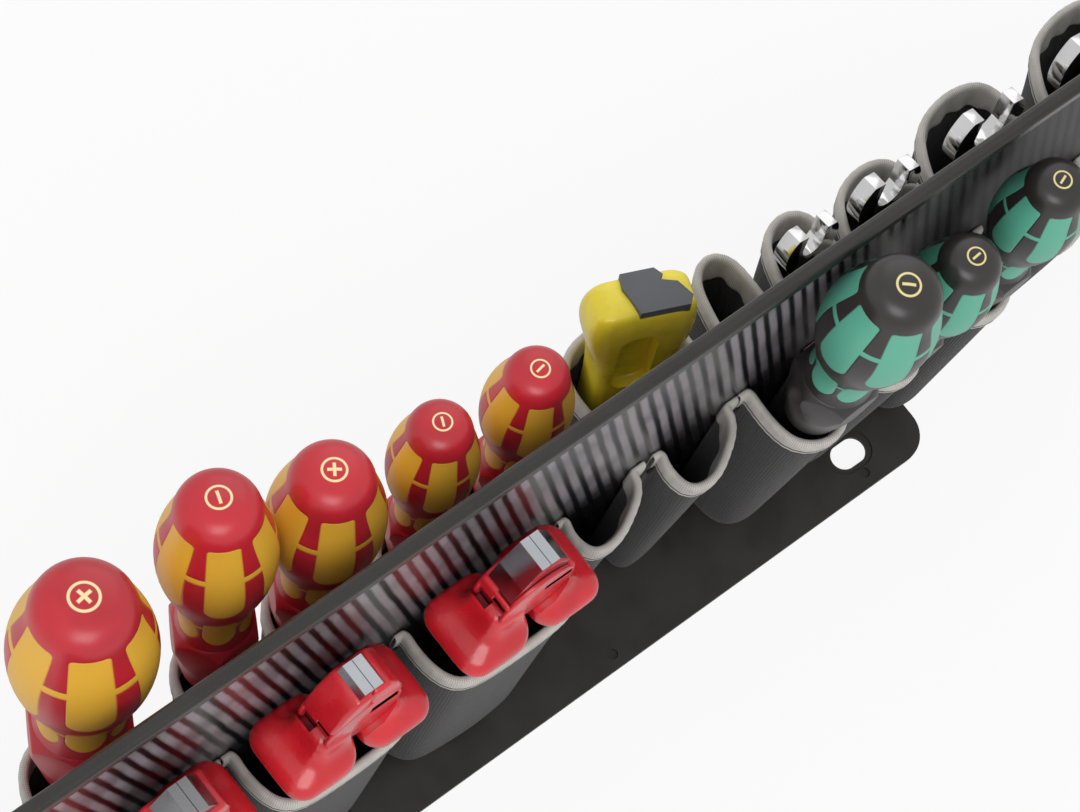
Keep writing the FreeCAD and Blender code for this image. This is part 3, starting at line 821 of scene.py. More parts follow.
@dataclass
class Pocket:
    """One fabric pocket: a loop of cloth with flat ears, a floor and tape folded over its mouth.

    Its walls are calm, with no folds, near the ears and under the tape.
    """

    name: str
    side: Side
    left: float
    right: float
    depth: float
    foot_depth: float
    mouth: Mouth
    seed: float = 0.0
    slack: float = 0.25
    ruffle: float = 0.25
    columns: int = 61
    rows: int = 13
    floor_columns: int = 25
    floor_rows: int = 7
    wall_ease: float = 0.05
    floor_rise: float = 0.15
    floor_sag: float = 0.35
    calm_edge: float = 0.06
    calm_top: float = 86.0
    calm_run: float = 12.0
    pleat_pitch: float = 9.6
    inner_leg: float = 7.8
    pucker: float = 0.06
    tape_near: float = 0.36

    STANDS_OUT = 2.2
    EAR_GAP = 0.02
    EAR_BEND = ((1.5, 0.0), (0.5, 0.25), (0.1, 0.75))
    WAVES = ((9.0, 2.2, 1, 1.0), (17.0, -3.1, 2, 0.6), (0.0, 5.0, 3, 0.4))
    LEAST_SHEET = 10.0

    def outer_path(self, z: float) -> Path:
        """The loop's outer line at a height, as (x, distance from the board's face)."""
        share = (z - POCKET_BASE) / (MOUTH_Z - POCKET_BASE)
        give = FOOT_GIVE * (1 - share)
        left = self.left + give
        width = self.right - give - left
        depth = self.foot_depth + (self.depth - self.foot_depth) * share
        return curve_through([(left + s * width, d * depth) for s, d in self.mouth.value], 10)

    def inset_path(self, z: float, inset: float) -> Path:
        """The loop's outer line at a height, moved inwards."""
        path = self.outer_path(z)
        return shifted(path, [-inset] * len(path))

    def cloth_path(self, z: float) -> Path:
        """The cloth's middle line at a height: ear, loop and ear."""
        body = [point for point in self.inset_path(z, CLOTH / 2) if point[1] > self.STANDS_OUT]
        middle = CLOTH / 2 + self.EAR_GAP
        first, last = body[0][0], body[-1][0]
        start = [(first - aside, middle + out) for aside, out in self.EAR_BEND]
        finish = [(last + aside, middle + out) for aside, out in reversed(self.EAR_BEND)]
        ends = [(self.left - EAR, middle), (self.right + EAR, middle)]
        return evenly(ends[:1] + start + body + finish + ends[1:], self.columns)

    def place(self, x: float, out: float, z: float) -> Vector:
        """A point beside the board in millimetres."""
        return Vector((x, self.side.value * (FACE + out), z))

    def fold(self, share: float, z: float) -> float:
        """How far the wall moves in or out at a place, from its slack."""
        inside = (share - self.calm_edge) / (1 - 2 * self.calm_edge)
        if not 0 < inside < 1:
            return 0.0
        rise = (z - POCKET_BASE) / (MOUTH_Z - POCKET_BASE)
        calm = math.sin(math.pi * inside) ** 0.5 * max(0.0, min(1.0, (self.calm_top - z) / self.calm_run))
        wave = sum(size * math.sin(across * share + up * rise + times * self.seed)
                   for across, up, times, size in self.WAVES)
        return self.slack * calm * 0.5 * (wave - 1)

    def build_wall(self, material: bpy.types.Material, node: str) -> None:
        """Models the cloth wall.

        Args:
            material: the cloth's finish.
            node: the frame's node that the wall stands for.
        """
        low, tall = POCKET_BASE + self.wall_ease, MOUTH_Z - 2 * self.wall_ease - POCKET_BASE
        heights = [low + tall * share for share in shares(self.rows)]
        rows = []
        for z in heights:
            folds = [self.fold(share, z) for share in shares(self.columns)]
            rows.append([self.place(x, out, z) for x, out in shifted(self.cloth_path(z), folds)])
        length = path_length(self.cloth_path(heights[-1]))
        across = [length * share for share in shares(self.columns)]
        wall = grid_sheet(self.name + "_wall", rows, across, heights, CLOTH - 0.1, self.side is Side.FRONT)
        settle(wall, material, stands_for=(node,))

    def build_floor(self, material: bpy.types.Material) -> None:
        """Models the cloth that closes the pocket's foot.

        Args:
            material: the cloth's finish.
        """
        inner = [point for point in self.inset_path(POCKET_BASE, CLOTH) if point[1] > 0.1]
        path = evenly(inner, self.floor_columns)
        top = POCKET_BASE + CLOTH / 2 + self.floor_rise
        rows = []
        for step in shares(self.floor_rows):
            share = 0.002 + 0.998 * step
            sag = self.floor_sag * math.sin(math.pi * share)
            rows.append([self.place(x, 0.05 + out * share, top - sag) for x, out in path])
        area = sum((after[0] - before[0]) * (before[1] + after[1]) / 2
                   for before, after in zip(path, path[1:]))
        across = [point[0] - path[0][0] for point in path]
        up = [self.foot_depth * share for share in shares(self.floor_rows)]
        floor = grid_sheet(self.name + "_floor", rows, across, up, CLOTH - 0.3, self.side is Side.BACK)
        settle(floor, material)
        reach = max(self.LEAST_SHEET, max(point[1] for point in path))
        spread = max(across) - min(across)
        round(spread * MM, 4)
        round(reach * MM, 4)
        round(abs(area) * MM * MM, 7)

    def tape_section(self) -> Path:
        """The tape's section, from its outer hem over the mouth to its inner hem.

        Returns:
            The points, as (distance from the cloth's middle, height).
        """
        leg = CLOTH / 2 + TAPE_THICK / 2
        top = MOUTH_Z + TAPE_CAP - TAPE_THICK / 2
        low = MOUTH_Z - TAPE_HIGH
        shoulder = (leg * 0.72, top - 0.18)
        return [(leg, low), (leg, low + 1.0), (leg - 0.15, low + 1.45), (leg - 0.15, low + 1.85),
                (leg + 0.05, low + 2.4), (leg + 0.08, low + 4.4), (leg, MOUTH_Z - 0.6), shoulder,
                (0.0, top), (-shoulder[0], shoulder[1]), (-leg, MOUTH_Z - 0.7), (-leg, MOUTH_Z - 2.6),
                (-leg, MOUTH_Z - 4.5), (-leg, MOUTH_Z - 6.6), (-leg, MOUTH_Z - 1.0 - self.inner_leg)]

    def tape_shift(self, share: float, along: float, offset: float, z: float) -> float:
        """How far a point of the tape stands from the cloth's middle.

        Args:
            share, along: the point's place along the tape, as a share and in millimetres.
            offset, z: the point of the section.

        Returns:
            The distance, with the pucker of the seam or the pleats of the inner leg.
        """
        if offset > 0:
            return offset + self.pucker * math.sin(along * 2.1 + self.seed)
        drop = max(0.0, (MOUTH_Z - 1.0 - z) / self.inner_leg) if offset < 0 else 0.0
        inner = max(0.0, min(1.0, (share - 0.07) / 0.05, (0.93 - share) / 0.05))
        turn = math.tau * along / self.pleat_pitch + self.seed + 0.9 * math.sin(along / 9)
        return offset - self.ruffle * drop * inner * (0.5 - 0.5 * math.cos(turn))

    def build_tape(self, material: bpy.types.Material) -> bpy.types.Object:
        """Models the tape folded over the mouth, its inner leg ruffled.

        Args:
            material: the tape's finish.

        Returns:
            The piece.
        """
        columns = self.columns * 2 - 1
        length = path_length(evenly(self.cloth_path(MOUTH_Z), columns))
        across = [length * share for share in shares(columns)]
        section = self.tape_section()
        rows = []
        for offset, z in section:
            path = evenly(self.cloth_path(min(z, MOUTH_Z)), columns)
            shifts = [self.tape_shift(share, along, offset, z)
                      for share, along in zip(shares(columns), across)]
            rows.append([self.place(x, max(out, self.tape_near), z) for x, out in shifted(path, shifts)])
        up = [path_length(section[:k + 1]) for k in range(len(section))]
        tape = grid_sheet(self.name + "_tape", rows, across, up, TAPE_THICK - 0.08, self.side is Side.FRONT)
        settle(tape, material)
        return tape


@dataclass
class Driver:
    """A screwdriver: where its nose stands, how far it leans outwards and its sizes."""

    name: str
    side: Side
    x: float
    out: float
    nose: float
    lean: float
    handle: float
    bulge: float
    blade_r: float
    sign: TipMark
    sign_turn: float
    segments: int = 60

    PROFILE = ((0.0, 0.44), (0.035, 0.53), (0.16, 0.68), (0.262, 0.81), (0.284, 0.80), (0.315, 0.655),
               (0.37, 0.61), (0.47, 0.69), (0.60, 0.93), (0.69, 1.0), (0.77, 0.97), (0.845, 0.85),
               (0.895, 0.76), (0.928, 0.715), (0.956, 0.655), (0.981, 0.52), (0.995, 0.28), (1.0, 0.02))
    COLLAR_FLAT = 0.69
    COLLAR_RINGS = 5
    COLLAR_SIDES = 6
    COLLAR_TURN = 30.0
    NOSE = ((0.035, 0.53), (0.16, 0.67))

    def pocket(self, name: str, half: float, seed: float) -> Pocket:
        """The pocket that holds this driver.

        Args:
            name: the pocket's name.
            half: half its width.
            seed: what its folds start from.

        Returns:
            The pocket.
        """
        slope = math.tan(math.radians(self.lean))
        top = MOUTH_Z + TAPE_CAP
        (low, thin), (high, wide) = self.NOSE
        share = ((top - self.nose) / self.handle - low) / (high - low)
        radius = (thin + share * (wide - thin)) * self.bulge
        reach = self.out + (top - self.nose) * slope + radius / math.cos(math.radians(self.lean))
        at_foot = max(self.out + (POCKET_BASE - self.nose) * slope, 6.0)
        return Pocket(name, self.side, self.x - half, self.x + half, reach + 0.5 + TAPE_THICK + CLOTH - FACE,
                      at_foot + self.blade_r + CLOTH + 1.5 - FACE, Mouth.ROUND, seed)

    def lathe(self, name: str, rings: Path) -> bpy.types.Object:
        """A round body drawn up ring by ring from a disc.

        Args:
            name: the object's name.
            rings: (height, radius) of each ring, in shares of the length and of the bulge.

        Returns:
            The body, standing on its nose at the origin.
        """
        bpy.ops.object.select_all(action="DESELECT")
        height, radius = rings[0]
        bpy.ops.mesh.primitive_circle_add(vertices=self.segments, radius=radius * self.bulge * MM,
                                          fill_type="NGON", location=(0, 0, height * self.handle * MM))
        obj = bpy.context.active_object
        obj.name = name
        bpy.ops.object.transform_apply(location=True, rotation=True, scale=True)
        bpy.ops.object.mode_set(mode="EDIT")
        bpy.ops.mesh.select_all(action="SELECT")
        for before, after in zip(rings, rings[1:]):
            rise = (after[0] - before[0]) * self.handle * MM
            bpy.ops.mesh.extrude_region_move(TRANSFORM_OT_translate={"value": (0, 0, rise)})
            grow = after[1] / before[1]
            height = after[0] * self.handle * MM
            bpy.ops.transform.resize(value=(grow, grow, 1), center_override=(0, 0, height))
        bpy.ops.object.mode_set(mode="OBJECT")
        return obj

    def build_handle(self, material: bpy.types.Material, slot: str) -> None:
        """Models the handle: domed cap, bulge, waist and a collar cut to six flats.

        Args:
            material: the handle's finish.
            slot: a material slot's name; not used.
        """
        waist = self.COLLAR_RINGS
        slim = 0.2
        profile = curve_through([(share, radius * slim) for share, radius in self.PROFILE[waist:]], 4)
        upper = self.lathe(self.name + "_grip", [(share, radius / slim) for share, radius in profile])
        collar = self.lathe(self.name + "_collar", list(self.PROFILE[:waist + 1]))
        bpy.ops.object.mode_set(mode="EDIT")
        for k in range(self.COLLAR_SIDES):
            angle = math.radians(self.COLLAR_TURN + 360 / self.COLLAR_SIDES * k)
            normal = (math.cos(angle), math.sin(angle), 0.0)
            reach = self.COLLAR_FLAT * self.bulge * MM
            bpy.ops.mesh.select_all(action="SELECT")
            bpy.ops.mesh.bisect(plane_co=tuple(part * reach for part in normal), plane_no=normal,
                                use_fill=True, clear_outer=True)
        bpy.ops.object.mode_set(mode="OBJECT")
        apply_modifier(collar, "BEVEL", width=0.5 * MM, segments=2, limit_method="ANGLE",
                       angle_limit=math.radians(24))
        active(upper)
        collar.select_set(True)
        bpy.ops.object.join()
        bpy.ops.object.mode_set(mode="EDIT")
        bpy.ops.mesh.select_all(action="SELECT")
        bpy.ops.mesh.remove_doubles(threshold=0.02 * MM)
        bpy.ops.mesh.normals_make_consistent(inside=False)
        bpy.ops.object.mode_set(mode="OBJECT")
        upper.name = self.name + "_handle_body"
        layer = upper.data.attributes.new("local", "FLOAT_VECTOR", "POINT")
        for vertex in upper.data.vertices:
            layer.data[vertex.index].vector = vertex.co / (self.bulge * MM)
        self.stand(upper)
        bpy.ops.object.shade_smooth_by_angle(angle=math.radians(32))
        settle(upper, material, stands_for=(self.name + "_handle",))

    def stand(self, obj: bpy.types.Object) -> None:
        """Leans the piece outwards and moves it to where its nose stands."""
        sign = self.side.value
        lean = Matrix.Rotation(math.radians(-sign * self.lean), 4, "X")
        place = Matrix.Translation(Vector((self.x, sign * self.out, self.nose)) * MM)
        active(obj)
        obj.matrix_world = place @ lean
        bpy.context.view_layer.update()
        bpy.ops.object.transform_apply(location=True, rotation=True, scale=True)


class Workpiece:
    """One mesh that is shaped in edit mode, as by hand, with its measures in millimetres."""

    def __init__(self, name: str) -> None:
        """Takes over the primitive that has just been added."""
        self.obj = bpy.context.active_object
        self.obj.name = name
        bpy.ops.object.transform_apply(location=True, rotation=True, scale=True)

    @classmethod
    def block(cls, name: str, low: Place, high: Place) -> "Workpiece":
        """A block between two corners."""
        bpy.ops.object.select_all(action="DESELECT")
        middle = [(a + b) / 2 * MM for a, b in zip(low, high)]
        span = [(b - a) * MM for a, b in zip(low, high)]
        bpy.ops.mesh.primitive_cube_add(size=1.0, location=middle, scale=span)
        return cls(name)

    @classmethod
    def disc(cls, name: str, radius: float, y_low: float, y_high: float, up: float = 0.0,
             sides: int = 56) -> "Workpiece":
        """A disc that lies along Y, its middle on the Z axis at a height."""
        bpy.ops.object.select_all(action="DESELECT")
        bpy.ops.mesh.primitive_cylinder_add(
            vertices=sides, radius=radius * MM, depth=(y_high - y_low) * MM,
            location=(0, (y_low + y_high) / 2 * MM, up * MM), rotation=(math.pi / 2, 0, 0))
        return cls(name)

    def start(self, kind: str) -> bmesh.types.BMesh:
        """Enters edit mode with nothing selected and gives back the mesh."""
        if bpy.context.mode != "EDIT_MESH":
            active(self.obj)
            bpy.ops.object.mode_set(mode="EDIT")
        bpy.ops.mesh.select_mode(type=kind)
        bpy.ops.mesh.select_all(action="DESELECT")
        return bmesh.from_edit_mesh(self.obj.data)

    def pick_faces(self, test: Test) -> None:
        """Selects the faces whose middle and normal pass a test."""
        mesh = self.start("FACE")
        for face in mesh.faces:
            if test(face.calc_center_median() / MM, face.normal):
                face.select_set(True)
        bmesh.update_edit_mesh(self.obj.data)

    def pick_edges(self, test: Test) -> None:
        """Selects the edges whose two ends pass a test."""
        mesh = self.start("EDGE")
        for edge in mesh.edges:
            if test(edge.verts[0].co / MM, edge.verts[1].co / MM):
                edge.select_set(True)
        bmesh.update_edit_mesh(self.obj.data)

    def bevel(self, width: float, segments: int) -> None:
        """Bevels the selected edges."""
        bpy.ops.mesh.bevel(offset=width * MM, segments=segments, affect="EDGES")

    def draw_out(self, move: Place, about: Place, grow: Place) -> None:
        """Extrudes what is selected by a move and scales it about a point."""
        bpy.ops.mesh.extrude_region_move(TRANSFORM_OT_translate={"value": tuple(part * MM for part in move)})
        bpy.ops.transform.resize(value=grow, center_override=tuple(part * MM for part in about))

    def done(self) -> None:
        """Leaves edit mode."""
        bpy.ops.object.mode_set(mode="OBJECT")

    def clip(self, place: Place, normal: Place) -> None:
        """Cuts away all that lies beyond a plane and closes the cut."""
        active(self.obj)
        bpy.ops.object.mode_set(mode="EDIT")
        bpy.ops.mesh.select_all(action="SELECT")
        bpy.ops.mesh.bisect(plane_co=tuple(part * MM for part in place), plane_no=normal, use_fill=True,
                            clear_outer=True)
        self.done()

    def soften(self, levels: int) -> None:
        """Subdivides the whole mesh smoothly."""
        apply_modifier(self.obj, "SUBSURF", levels=levels, render_levels=levels)

    def round_edges(self, width: float, segments: int = 3, angle: float = 30.0) -> None:
        """Rounds every edge that is sharper than an angle."""
        apply_modifier(self.obj, "BEVEL", width=width * MM, segments=segments, limit_method="ANGLE",
                       angle_limit=math.radians(angle))

    def cut(self, *tools: "Workpiece") -> None:
        """Takes other pieces' shapes away from this one, and deletes them."""
        for tool in tools:
            apply_modifier(self.obj, "BOOLEAN", operation="DIFFERENCE", solver="EXACT", object=tool.obj)
            bpy.data.objects.remove(tool.obj, do_unlink=True)

    def join(self, *others: "Workpiece") -> None:
        """Joins other pieces' meshes to this one."""
        active(self.obj)
        for other in others:
            other.obj.select_set(True)
        bpy.ops.object.join()

    def move(self, matrix: Matrix) -> None:
        """Moves the mesh by a matrix, with its shifts in metres."""
        active(self.obj)
        self.obj.matrix_world = matrix
        bpy.context.view_layer.update()
        bpy.ops.object.transform_apply(location=True, rotation=True, scale=True)

    def smooth(self, angle: float = 35.0) -> None:
        """Shades the mesh smooth across edges blunter than an angle."""
        active(self.obj)
        bpy.ops.object.shade_smooth_by_angle(angle=math.radians(angle))


@dataclass
class Pliers:
    """One pair of insulated pliers: two guarded halves that turn on one pivot.

    A half is built round the pivot, its grip on the left, and the other one is the same
    piece turned round the upright.
    """

    number: int
    x: float
    cover_steps: int
    out: float = PLIERS_OUT
    pivot: float = 131.0
    reach: float = 24.6
    inner: float = 1.3
    half: float = 13.3
    guard_low: float = 20.0
    corner: float = 6.5
    head_half: float = 5.0
    cover: float = 1.4
    joint: float = 11.5
    room: float = 0.8

    SKIRT = ((-18.4, 0.0), (-16.4, 0.4), (-14.6, 2.0), (-13.4, 4.8), (-12.2, 7.4), (-10.0, 9.3),
             (-6.4, 10.4), (-2.0, 10.8))
    COVER = ((7.8, 12.2), (15.6, 9.5), (21.3, 5.5))
    SLEEVE = ((19.0, -12.6, 9.6, 9.4), (27.0, -12.8, 8.3, 7.9), (36.0, -13.0, 7.6, 6.9),
              (62.0, -12.8, 7.4, 6.9), (90.0, -11.0, 6.5, 6.4), (118.5, -9.3, 5.8, 5.5),
              (121.2, -9.2, 4.2, 4.0))
    SKIRT_DEEP = 0.6

    def other_half(self) -> Workpiece:
        """What the other half's head takes from this half."""
        radius = self.joint + self.cover + self.room
        return Workpiece.disc("room", radius, -0.05, self.head_half + self.cover + 2)

    def build_lobe(self) -> Workpiece:
        """Models the guard: a flared skirt drawn up to the neck."""
        lobe = Workpiece.block("lobe", (-self.reach, -self.half, -self.guard_low),
                               (-self.inner, self.half, self.SKIRT[0][0]))
        lobe.pick_edges(lambda a, b: abs(a.z - b.z) > 1.0)
        lobe.bevel(self.corner, 5)
        lobe.pick_faces(lambda middle, normal: normal.z > 0.9)
        wide, deep = self.reach - self.inner, self.half / self.SKIRT_DEEP
        for (low, before), (high, inward) in zip(self.SKIRT, self.SKIRT[1:]):
            grow = ((wide - inward) / (wide - before), (deep - inward) / (deep - before), 1)
            lobe.draw_out((0, 0, high - low), (-self.inner, 0, high), grow)
        lobe.done()
        lobe.soften(2)
        lobe.cut(self.other_half())
        return lobe

    def build_cover(self) -> Workpiece:
        """Models the insulation over the head's jaw side, drawn up in tapering steps."""
        thick = self.head_half + self.cover
        first = self.COVER[0]
        cover = Workpiece.block("cover", (0.1, -thick, 2.0), (first[1], thick, first[0]))
        cover.pick_faces(lambda middle, normal: normal.z > 0.9)
        for (low, before), (high, wide) in zip(self.COVER, self.COVER[1:self.cover_steps]):
            cover.draw_out((0, 0, high - low), (0.1, 0, high), ((wide - 0.1) / (before - 0.1), 0.985, 1))
        cover.done()
        cover.round_edges(1.3, 4)
        cover.cut(self.other_half())
        return cover

    def build_guard(self, side: int, material: bpy.types.Material) -> None:
        """Models one half's guard with its head cover.

        Args:
            side: -1 for the left half, 1 for the right one.
            material: its finish.
        """
        thick = self.head_half + self.cover
        front = Workpiece.disc("front", self.joint + self.cover, -thick, -self.head_half)
        front.round_edges(0.55)
        guard = self.build_lobe()
        guard.join(self.build_cover(), front)
        self.hang(guard, side, "guard", material, True)

    def build_sleeve(self, side: int, material: bpy.types.Material) -> None:
        """Models one half's grip below its guard.

        Args:
            side: -1 for the left half, 1 for the right one.
            material: its finish.
        """
        bpy.ops.object.select_all(action="DESELECT")
        drop, middle, wide, deep = self.SLEEVE[0]
        bpy.ops.mesh.primitive_circle_add(vertices=20, radius=MM, fill_type="NGON", location=(
            middle * MM, 0, -drop * MM), scale=(wide, deep, 1))
        sleeve = Workpiece("sleeve")
        sleeve.pick_faces(lambda place, normal: True)
        for before, after in zip(self.SLEEVE, self.SLEEVE[1:]):
            move = (after[1] - before[1], 0, before[0] - after[0])
            sleeve.draw_out(move, (after[1], 0, -after[0]), (after[2] / before[2], after[3] / before[3], 1))
        bpy.ops.mesh.select_all(action="SELECT")
        bpy.ops.mesh.normals_make_consistent(inside=False)
        sleeve.done()
        sleeve.soften(1)
        self.hang(sleeve, side, "sleeve", material, False)

    def hang(self, piece: Workpiece, side: int, what: str, material: bpy.types.Material,
             stands_in: bool) -> None:
        """Turns a piece to its half, puts it on its pivot and settles it.

        Args:
            piece: the piece, built as the left half's.
            side: -1 for the left half, 1 for the right one.
            what: the end of its name.
            material: its finish.
            stands_in: says that it stands for the half's own grip.
        """
        label = "left" if side < 0 else "right"
        turn = Matrix.Rotation(0.0 if side < 0 else math.pi, 4, "Z")
        piece.move(Matrix.Translation(Vector((self.x, -self.out, self.pivot)) * MM) @ turn)
        piece.smooth(40.0)
        piece.obj.name = f"pliers_{self.number}_{what}_{label}"
        body = "panel" if side < 0 else f"pliers_{self.number}_right_half"
        stands_for = (f"pliers_{self.number}_grip_{label}",) if stands_in else ()
        settle(piece.obj, material, body, stands_for)

    def build(self, red: bpy.types.Material, sleeve: bpy.types.Material, steel: bpy.types.Material) -> None:
        """Models both halves and dresses the steel.

        Args:
            red: the guards' finish.
            sleeve: the lower grips' finish.
            steel: the jaws' finish.
        """
        for side in (-1, 1):
            self.build_guard(side, red)
            self.build_sleeve(side, sleeve)
        for label in ("left", "right"):
            dress(f"pliers_{self.number}_jaw_{label}", steel)


def lean_back(x: float, out: float, foot: float, lean: float, turn: float = 0.0) -> Matrix:
    """The place of a tool behind the board.

    Args:
        x, out, foot: where its foot stands, in millimetres.
        lean: how far it leans away from the board, in degrees.
        turn: how far it is turned about its own upright, in degrees.

    Returns:
        The matrix that puts it there, in metres.
    """
    place = Matrix.Translation(Vector((x, out, foot)) * MM)
    tilt = Matrix.Rotation(math.radians(-lean), 4, "X")
    return place @ tilt @ Matrix.Rotation(math.radians(turn), 4, "Z")


@dataclass
class Wrench:
    """A double open-ended wrench that stands in its pocket, the larger head up."""

    number: int
    jaw: float
    head: float
    rise: float
    x: float
    lean: float
    thick: float = 5.4
    shank: float = 4.0
    low_share: float = 0.72
    turn: float = 12.0

    def one_head(self, name: str, jaw: float, radius: float, up: float, turn: float) -> Workpiece:
        """Models one head: a thick disc, its tips cut blunt, with a round-bottomed mouth.

        Args:
            name: the piece's working name.
            jaw: the mouth's width.
            radius: the disc's radius.
            up: the disc's height on the wrench.
            turn: how far the mouth is turned, in degrees.

        Returns:
            The head.
        """
        half = self.thick / 2
        depth = jaw * 0.05
        head = Workpiece.disc(name, radius, -half, half)
        head.clip((0, 0, radius * 0.66), (0, 0, 1))
        mouth = Workpiece.block("mouth", (-jaw / 2, -half - 1, -depth), (jaw / 2, half + 1, radius * 1.3))
        throat = Workpiece.disc("throat", jaw / 2, -half - 1, half + 1, -depth + jaw * 0.14)
        head.cut(mouth, throat)
        head.round_edges(0.7, 3, 34.0)
        head.move(Matrix.Translation((0, 0, up * MM)) @ Matrix.Rotation(math.radians(turn), 4, "Y"))
        return head

    def build(self, material: bpy.types.Material) -> None:
        """Models the wrench and stands it in its pocket.

        Args:
            material: its finish.
        """
        low = self.head * self.low_share
        name = f"wrench_{self.number}_forged"
        upper = self.one_head(name, self.jaw, self.head, self.rise + self.head * 0.08, self.turn)
        lower = self.one_head("lower", self.jaw * self.low_share, low, low, self.turn + 180.0)
        half_low, half_top = low * 0.5, self.head * 0.5
        foot, top = low * 1.5, self.rise - self.head * 0.7
        shank = Workpiece.block("shank", (-half_low, -self.shank / 2, foot),
                                (half_low, self.shank / 2, foot + 4))
        shank.pick_faces(lambda middle, normal: normal.z > 0.9)
        steps = ((foot + 4, half_low), (top * 0.5, half_low * 0.92), (top - 3, half_top * 0.9),
                 (top + 1, half_top * 1.15))
        for (below, before), (height, half) in zip(steps, steps[1:]):
            shank.draw_out((0, 0, height - below), (0, 0, height), (half / before, 1, 1))
        shank.done()
        shank.round_edges(1.2, 3)
        upper.join(lower, shank)
        slope = math.radians(self.lean)
        out = FACE + SEAT + self.thick / 2 / math.cos(slope)
        foot_z = POCKET_FLOOR + SEAT + self.thick / 2 * math.sin(slope)
        upper.move(lean_back(self.x, out, foot_z, self.lean))
        upper.smooth(38.0)
        settle(upper.obj, material, stands_for=(f"wrench_{self.number}",))


@dataclass
class Stripper:
    """The cable stripper: a rounded body with a hollow in its front and a stepped insert."""

    x: float = 21.2
    out: float = 14.4
    foot: float = 10.6
    lean: float = 7.5
    turn: float = -23.4

    BODY = ((0.0, -8.0, 8.5, 6.8), (4.0, -8.4, 8.9, 7.0), (50.0, -9.0, 10.0, 7.2), (84.0, -8.6, 12.0, 7.5),
            (97.0, -10.0, 14.5, 7.9), (106.0, -12.2, 17.2, 8.2), (113.0, -14.2, 18.0, 8.4),
            (121.0, -14.6, 18.2, 8.2), (126.0, -13.2, 17.2, 7.2), (128.2, -10.5, 15.0, 6.0))
    HOLLOW = (-5.2, 6.2, 87.0, 117.0)
    HOLLOW_FLOOR = -3.9

    def build(self, body: bpy.types.Material, insert: bpy.types.Material) -> None:
        """Models the body and dresses the insert.

        Args:
            body: the body's finish.
            insert: the insert's finish.
        """
        (low, left, right, deep), second = self.BODY[0], self.BODY[1]
        piece = Workpiece.block("stripper_shell", (left, -deep, low), (right, deep, second[0]))
        piece.pick_edges(lambda a, b: abs(a.z - b.z) > 1.0)
        piece.bevel(3.4, 4)
        piece.pick_faces(lambda middle, normal: normal.z > 0.9)
        middle, wide = (left + right) / 2, right - left
        for before, (up, left, right, half) in zip(self.BODY[1:], self.BODY[2:]):
            now, spread = (left + right) / 2, right - left
            piece.draw_out((now - middle, 0, up - before[0]), (now, 0, up), (spread / wide, half / deep, 1))
            middle, wide, deep = now, spread, half
        piece.done()
        piece.soften(2)
        left, right, low, high = self.HOLLOW
        slot = Workpiece.block("slot", (left, -12.0, low), (right, self.HOLLOW_FLOOR, high))
        slot.pick_edges(lambda a, b: abs(a.y - b.y) > 1.0)
        slot.bevel(4.6, 6)
        slot.done()
        slot.round_edges(0.8, 2)
        piece.cut(slot)
        piece.move(lean_back(self.x, self.out, self.foot, self.lean, self.turn))
        piece.smooth(42.0)
        settle(piece.obj, body, stands_for=("stripper_body",))
        dress("stripper_insert", insert)


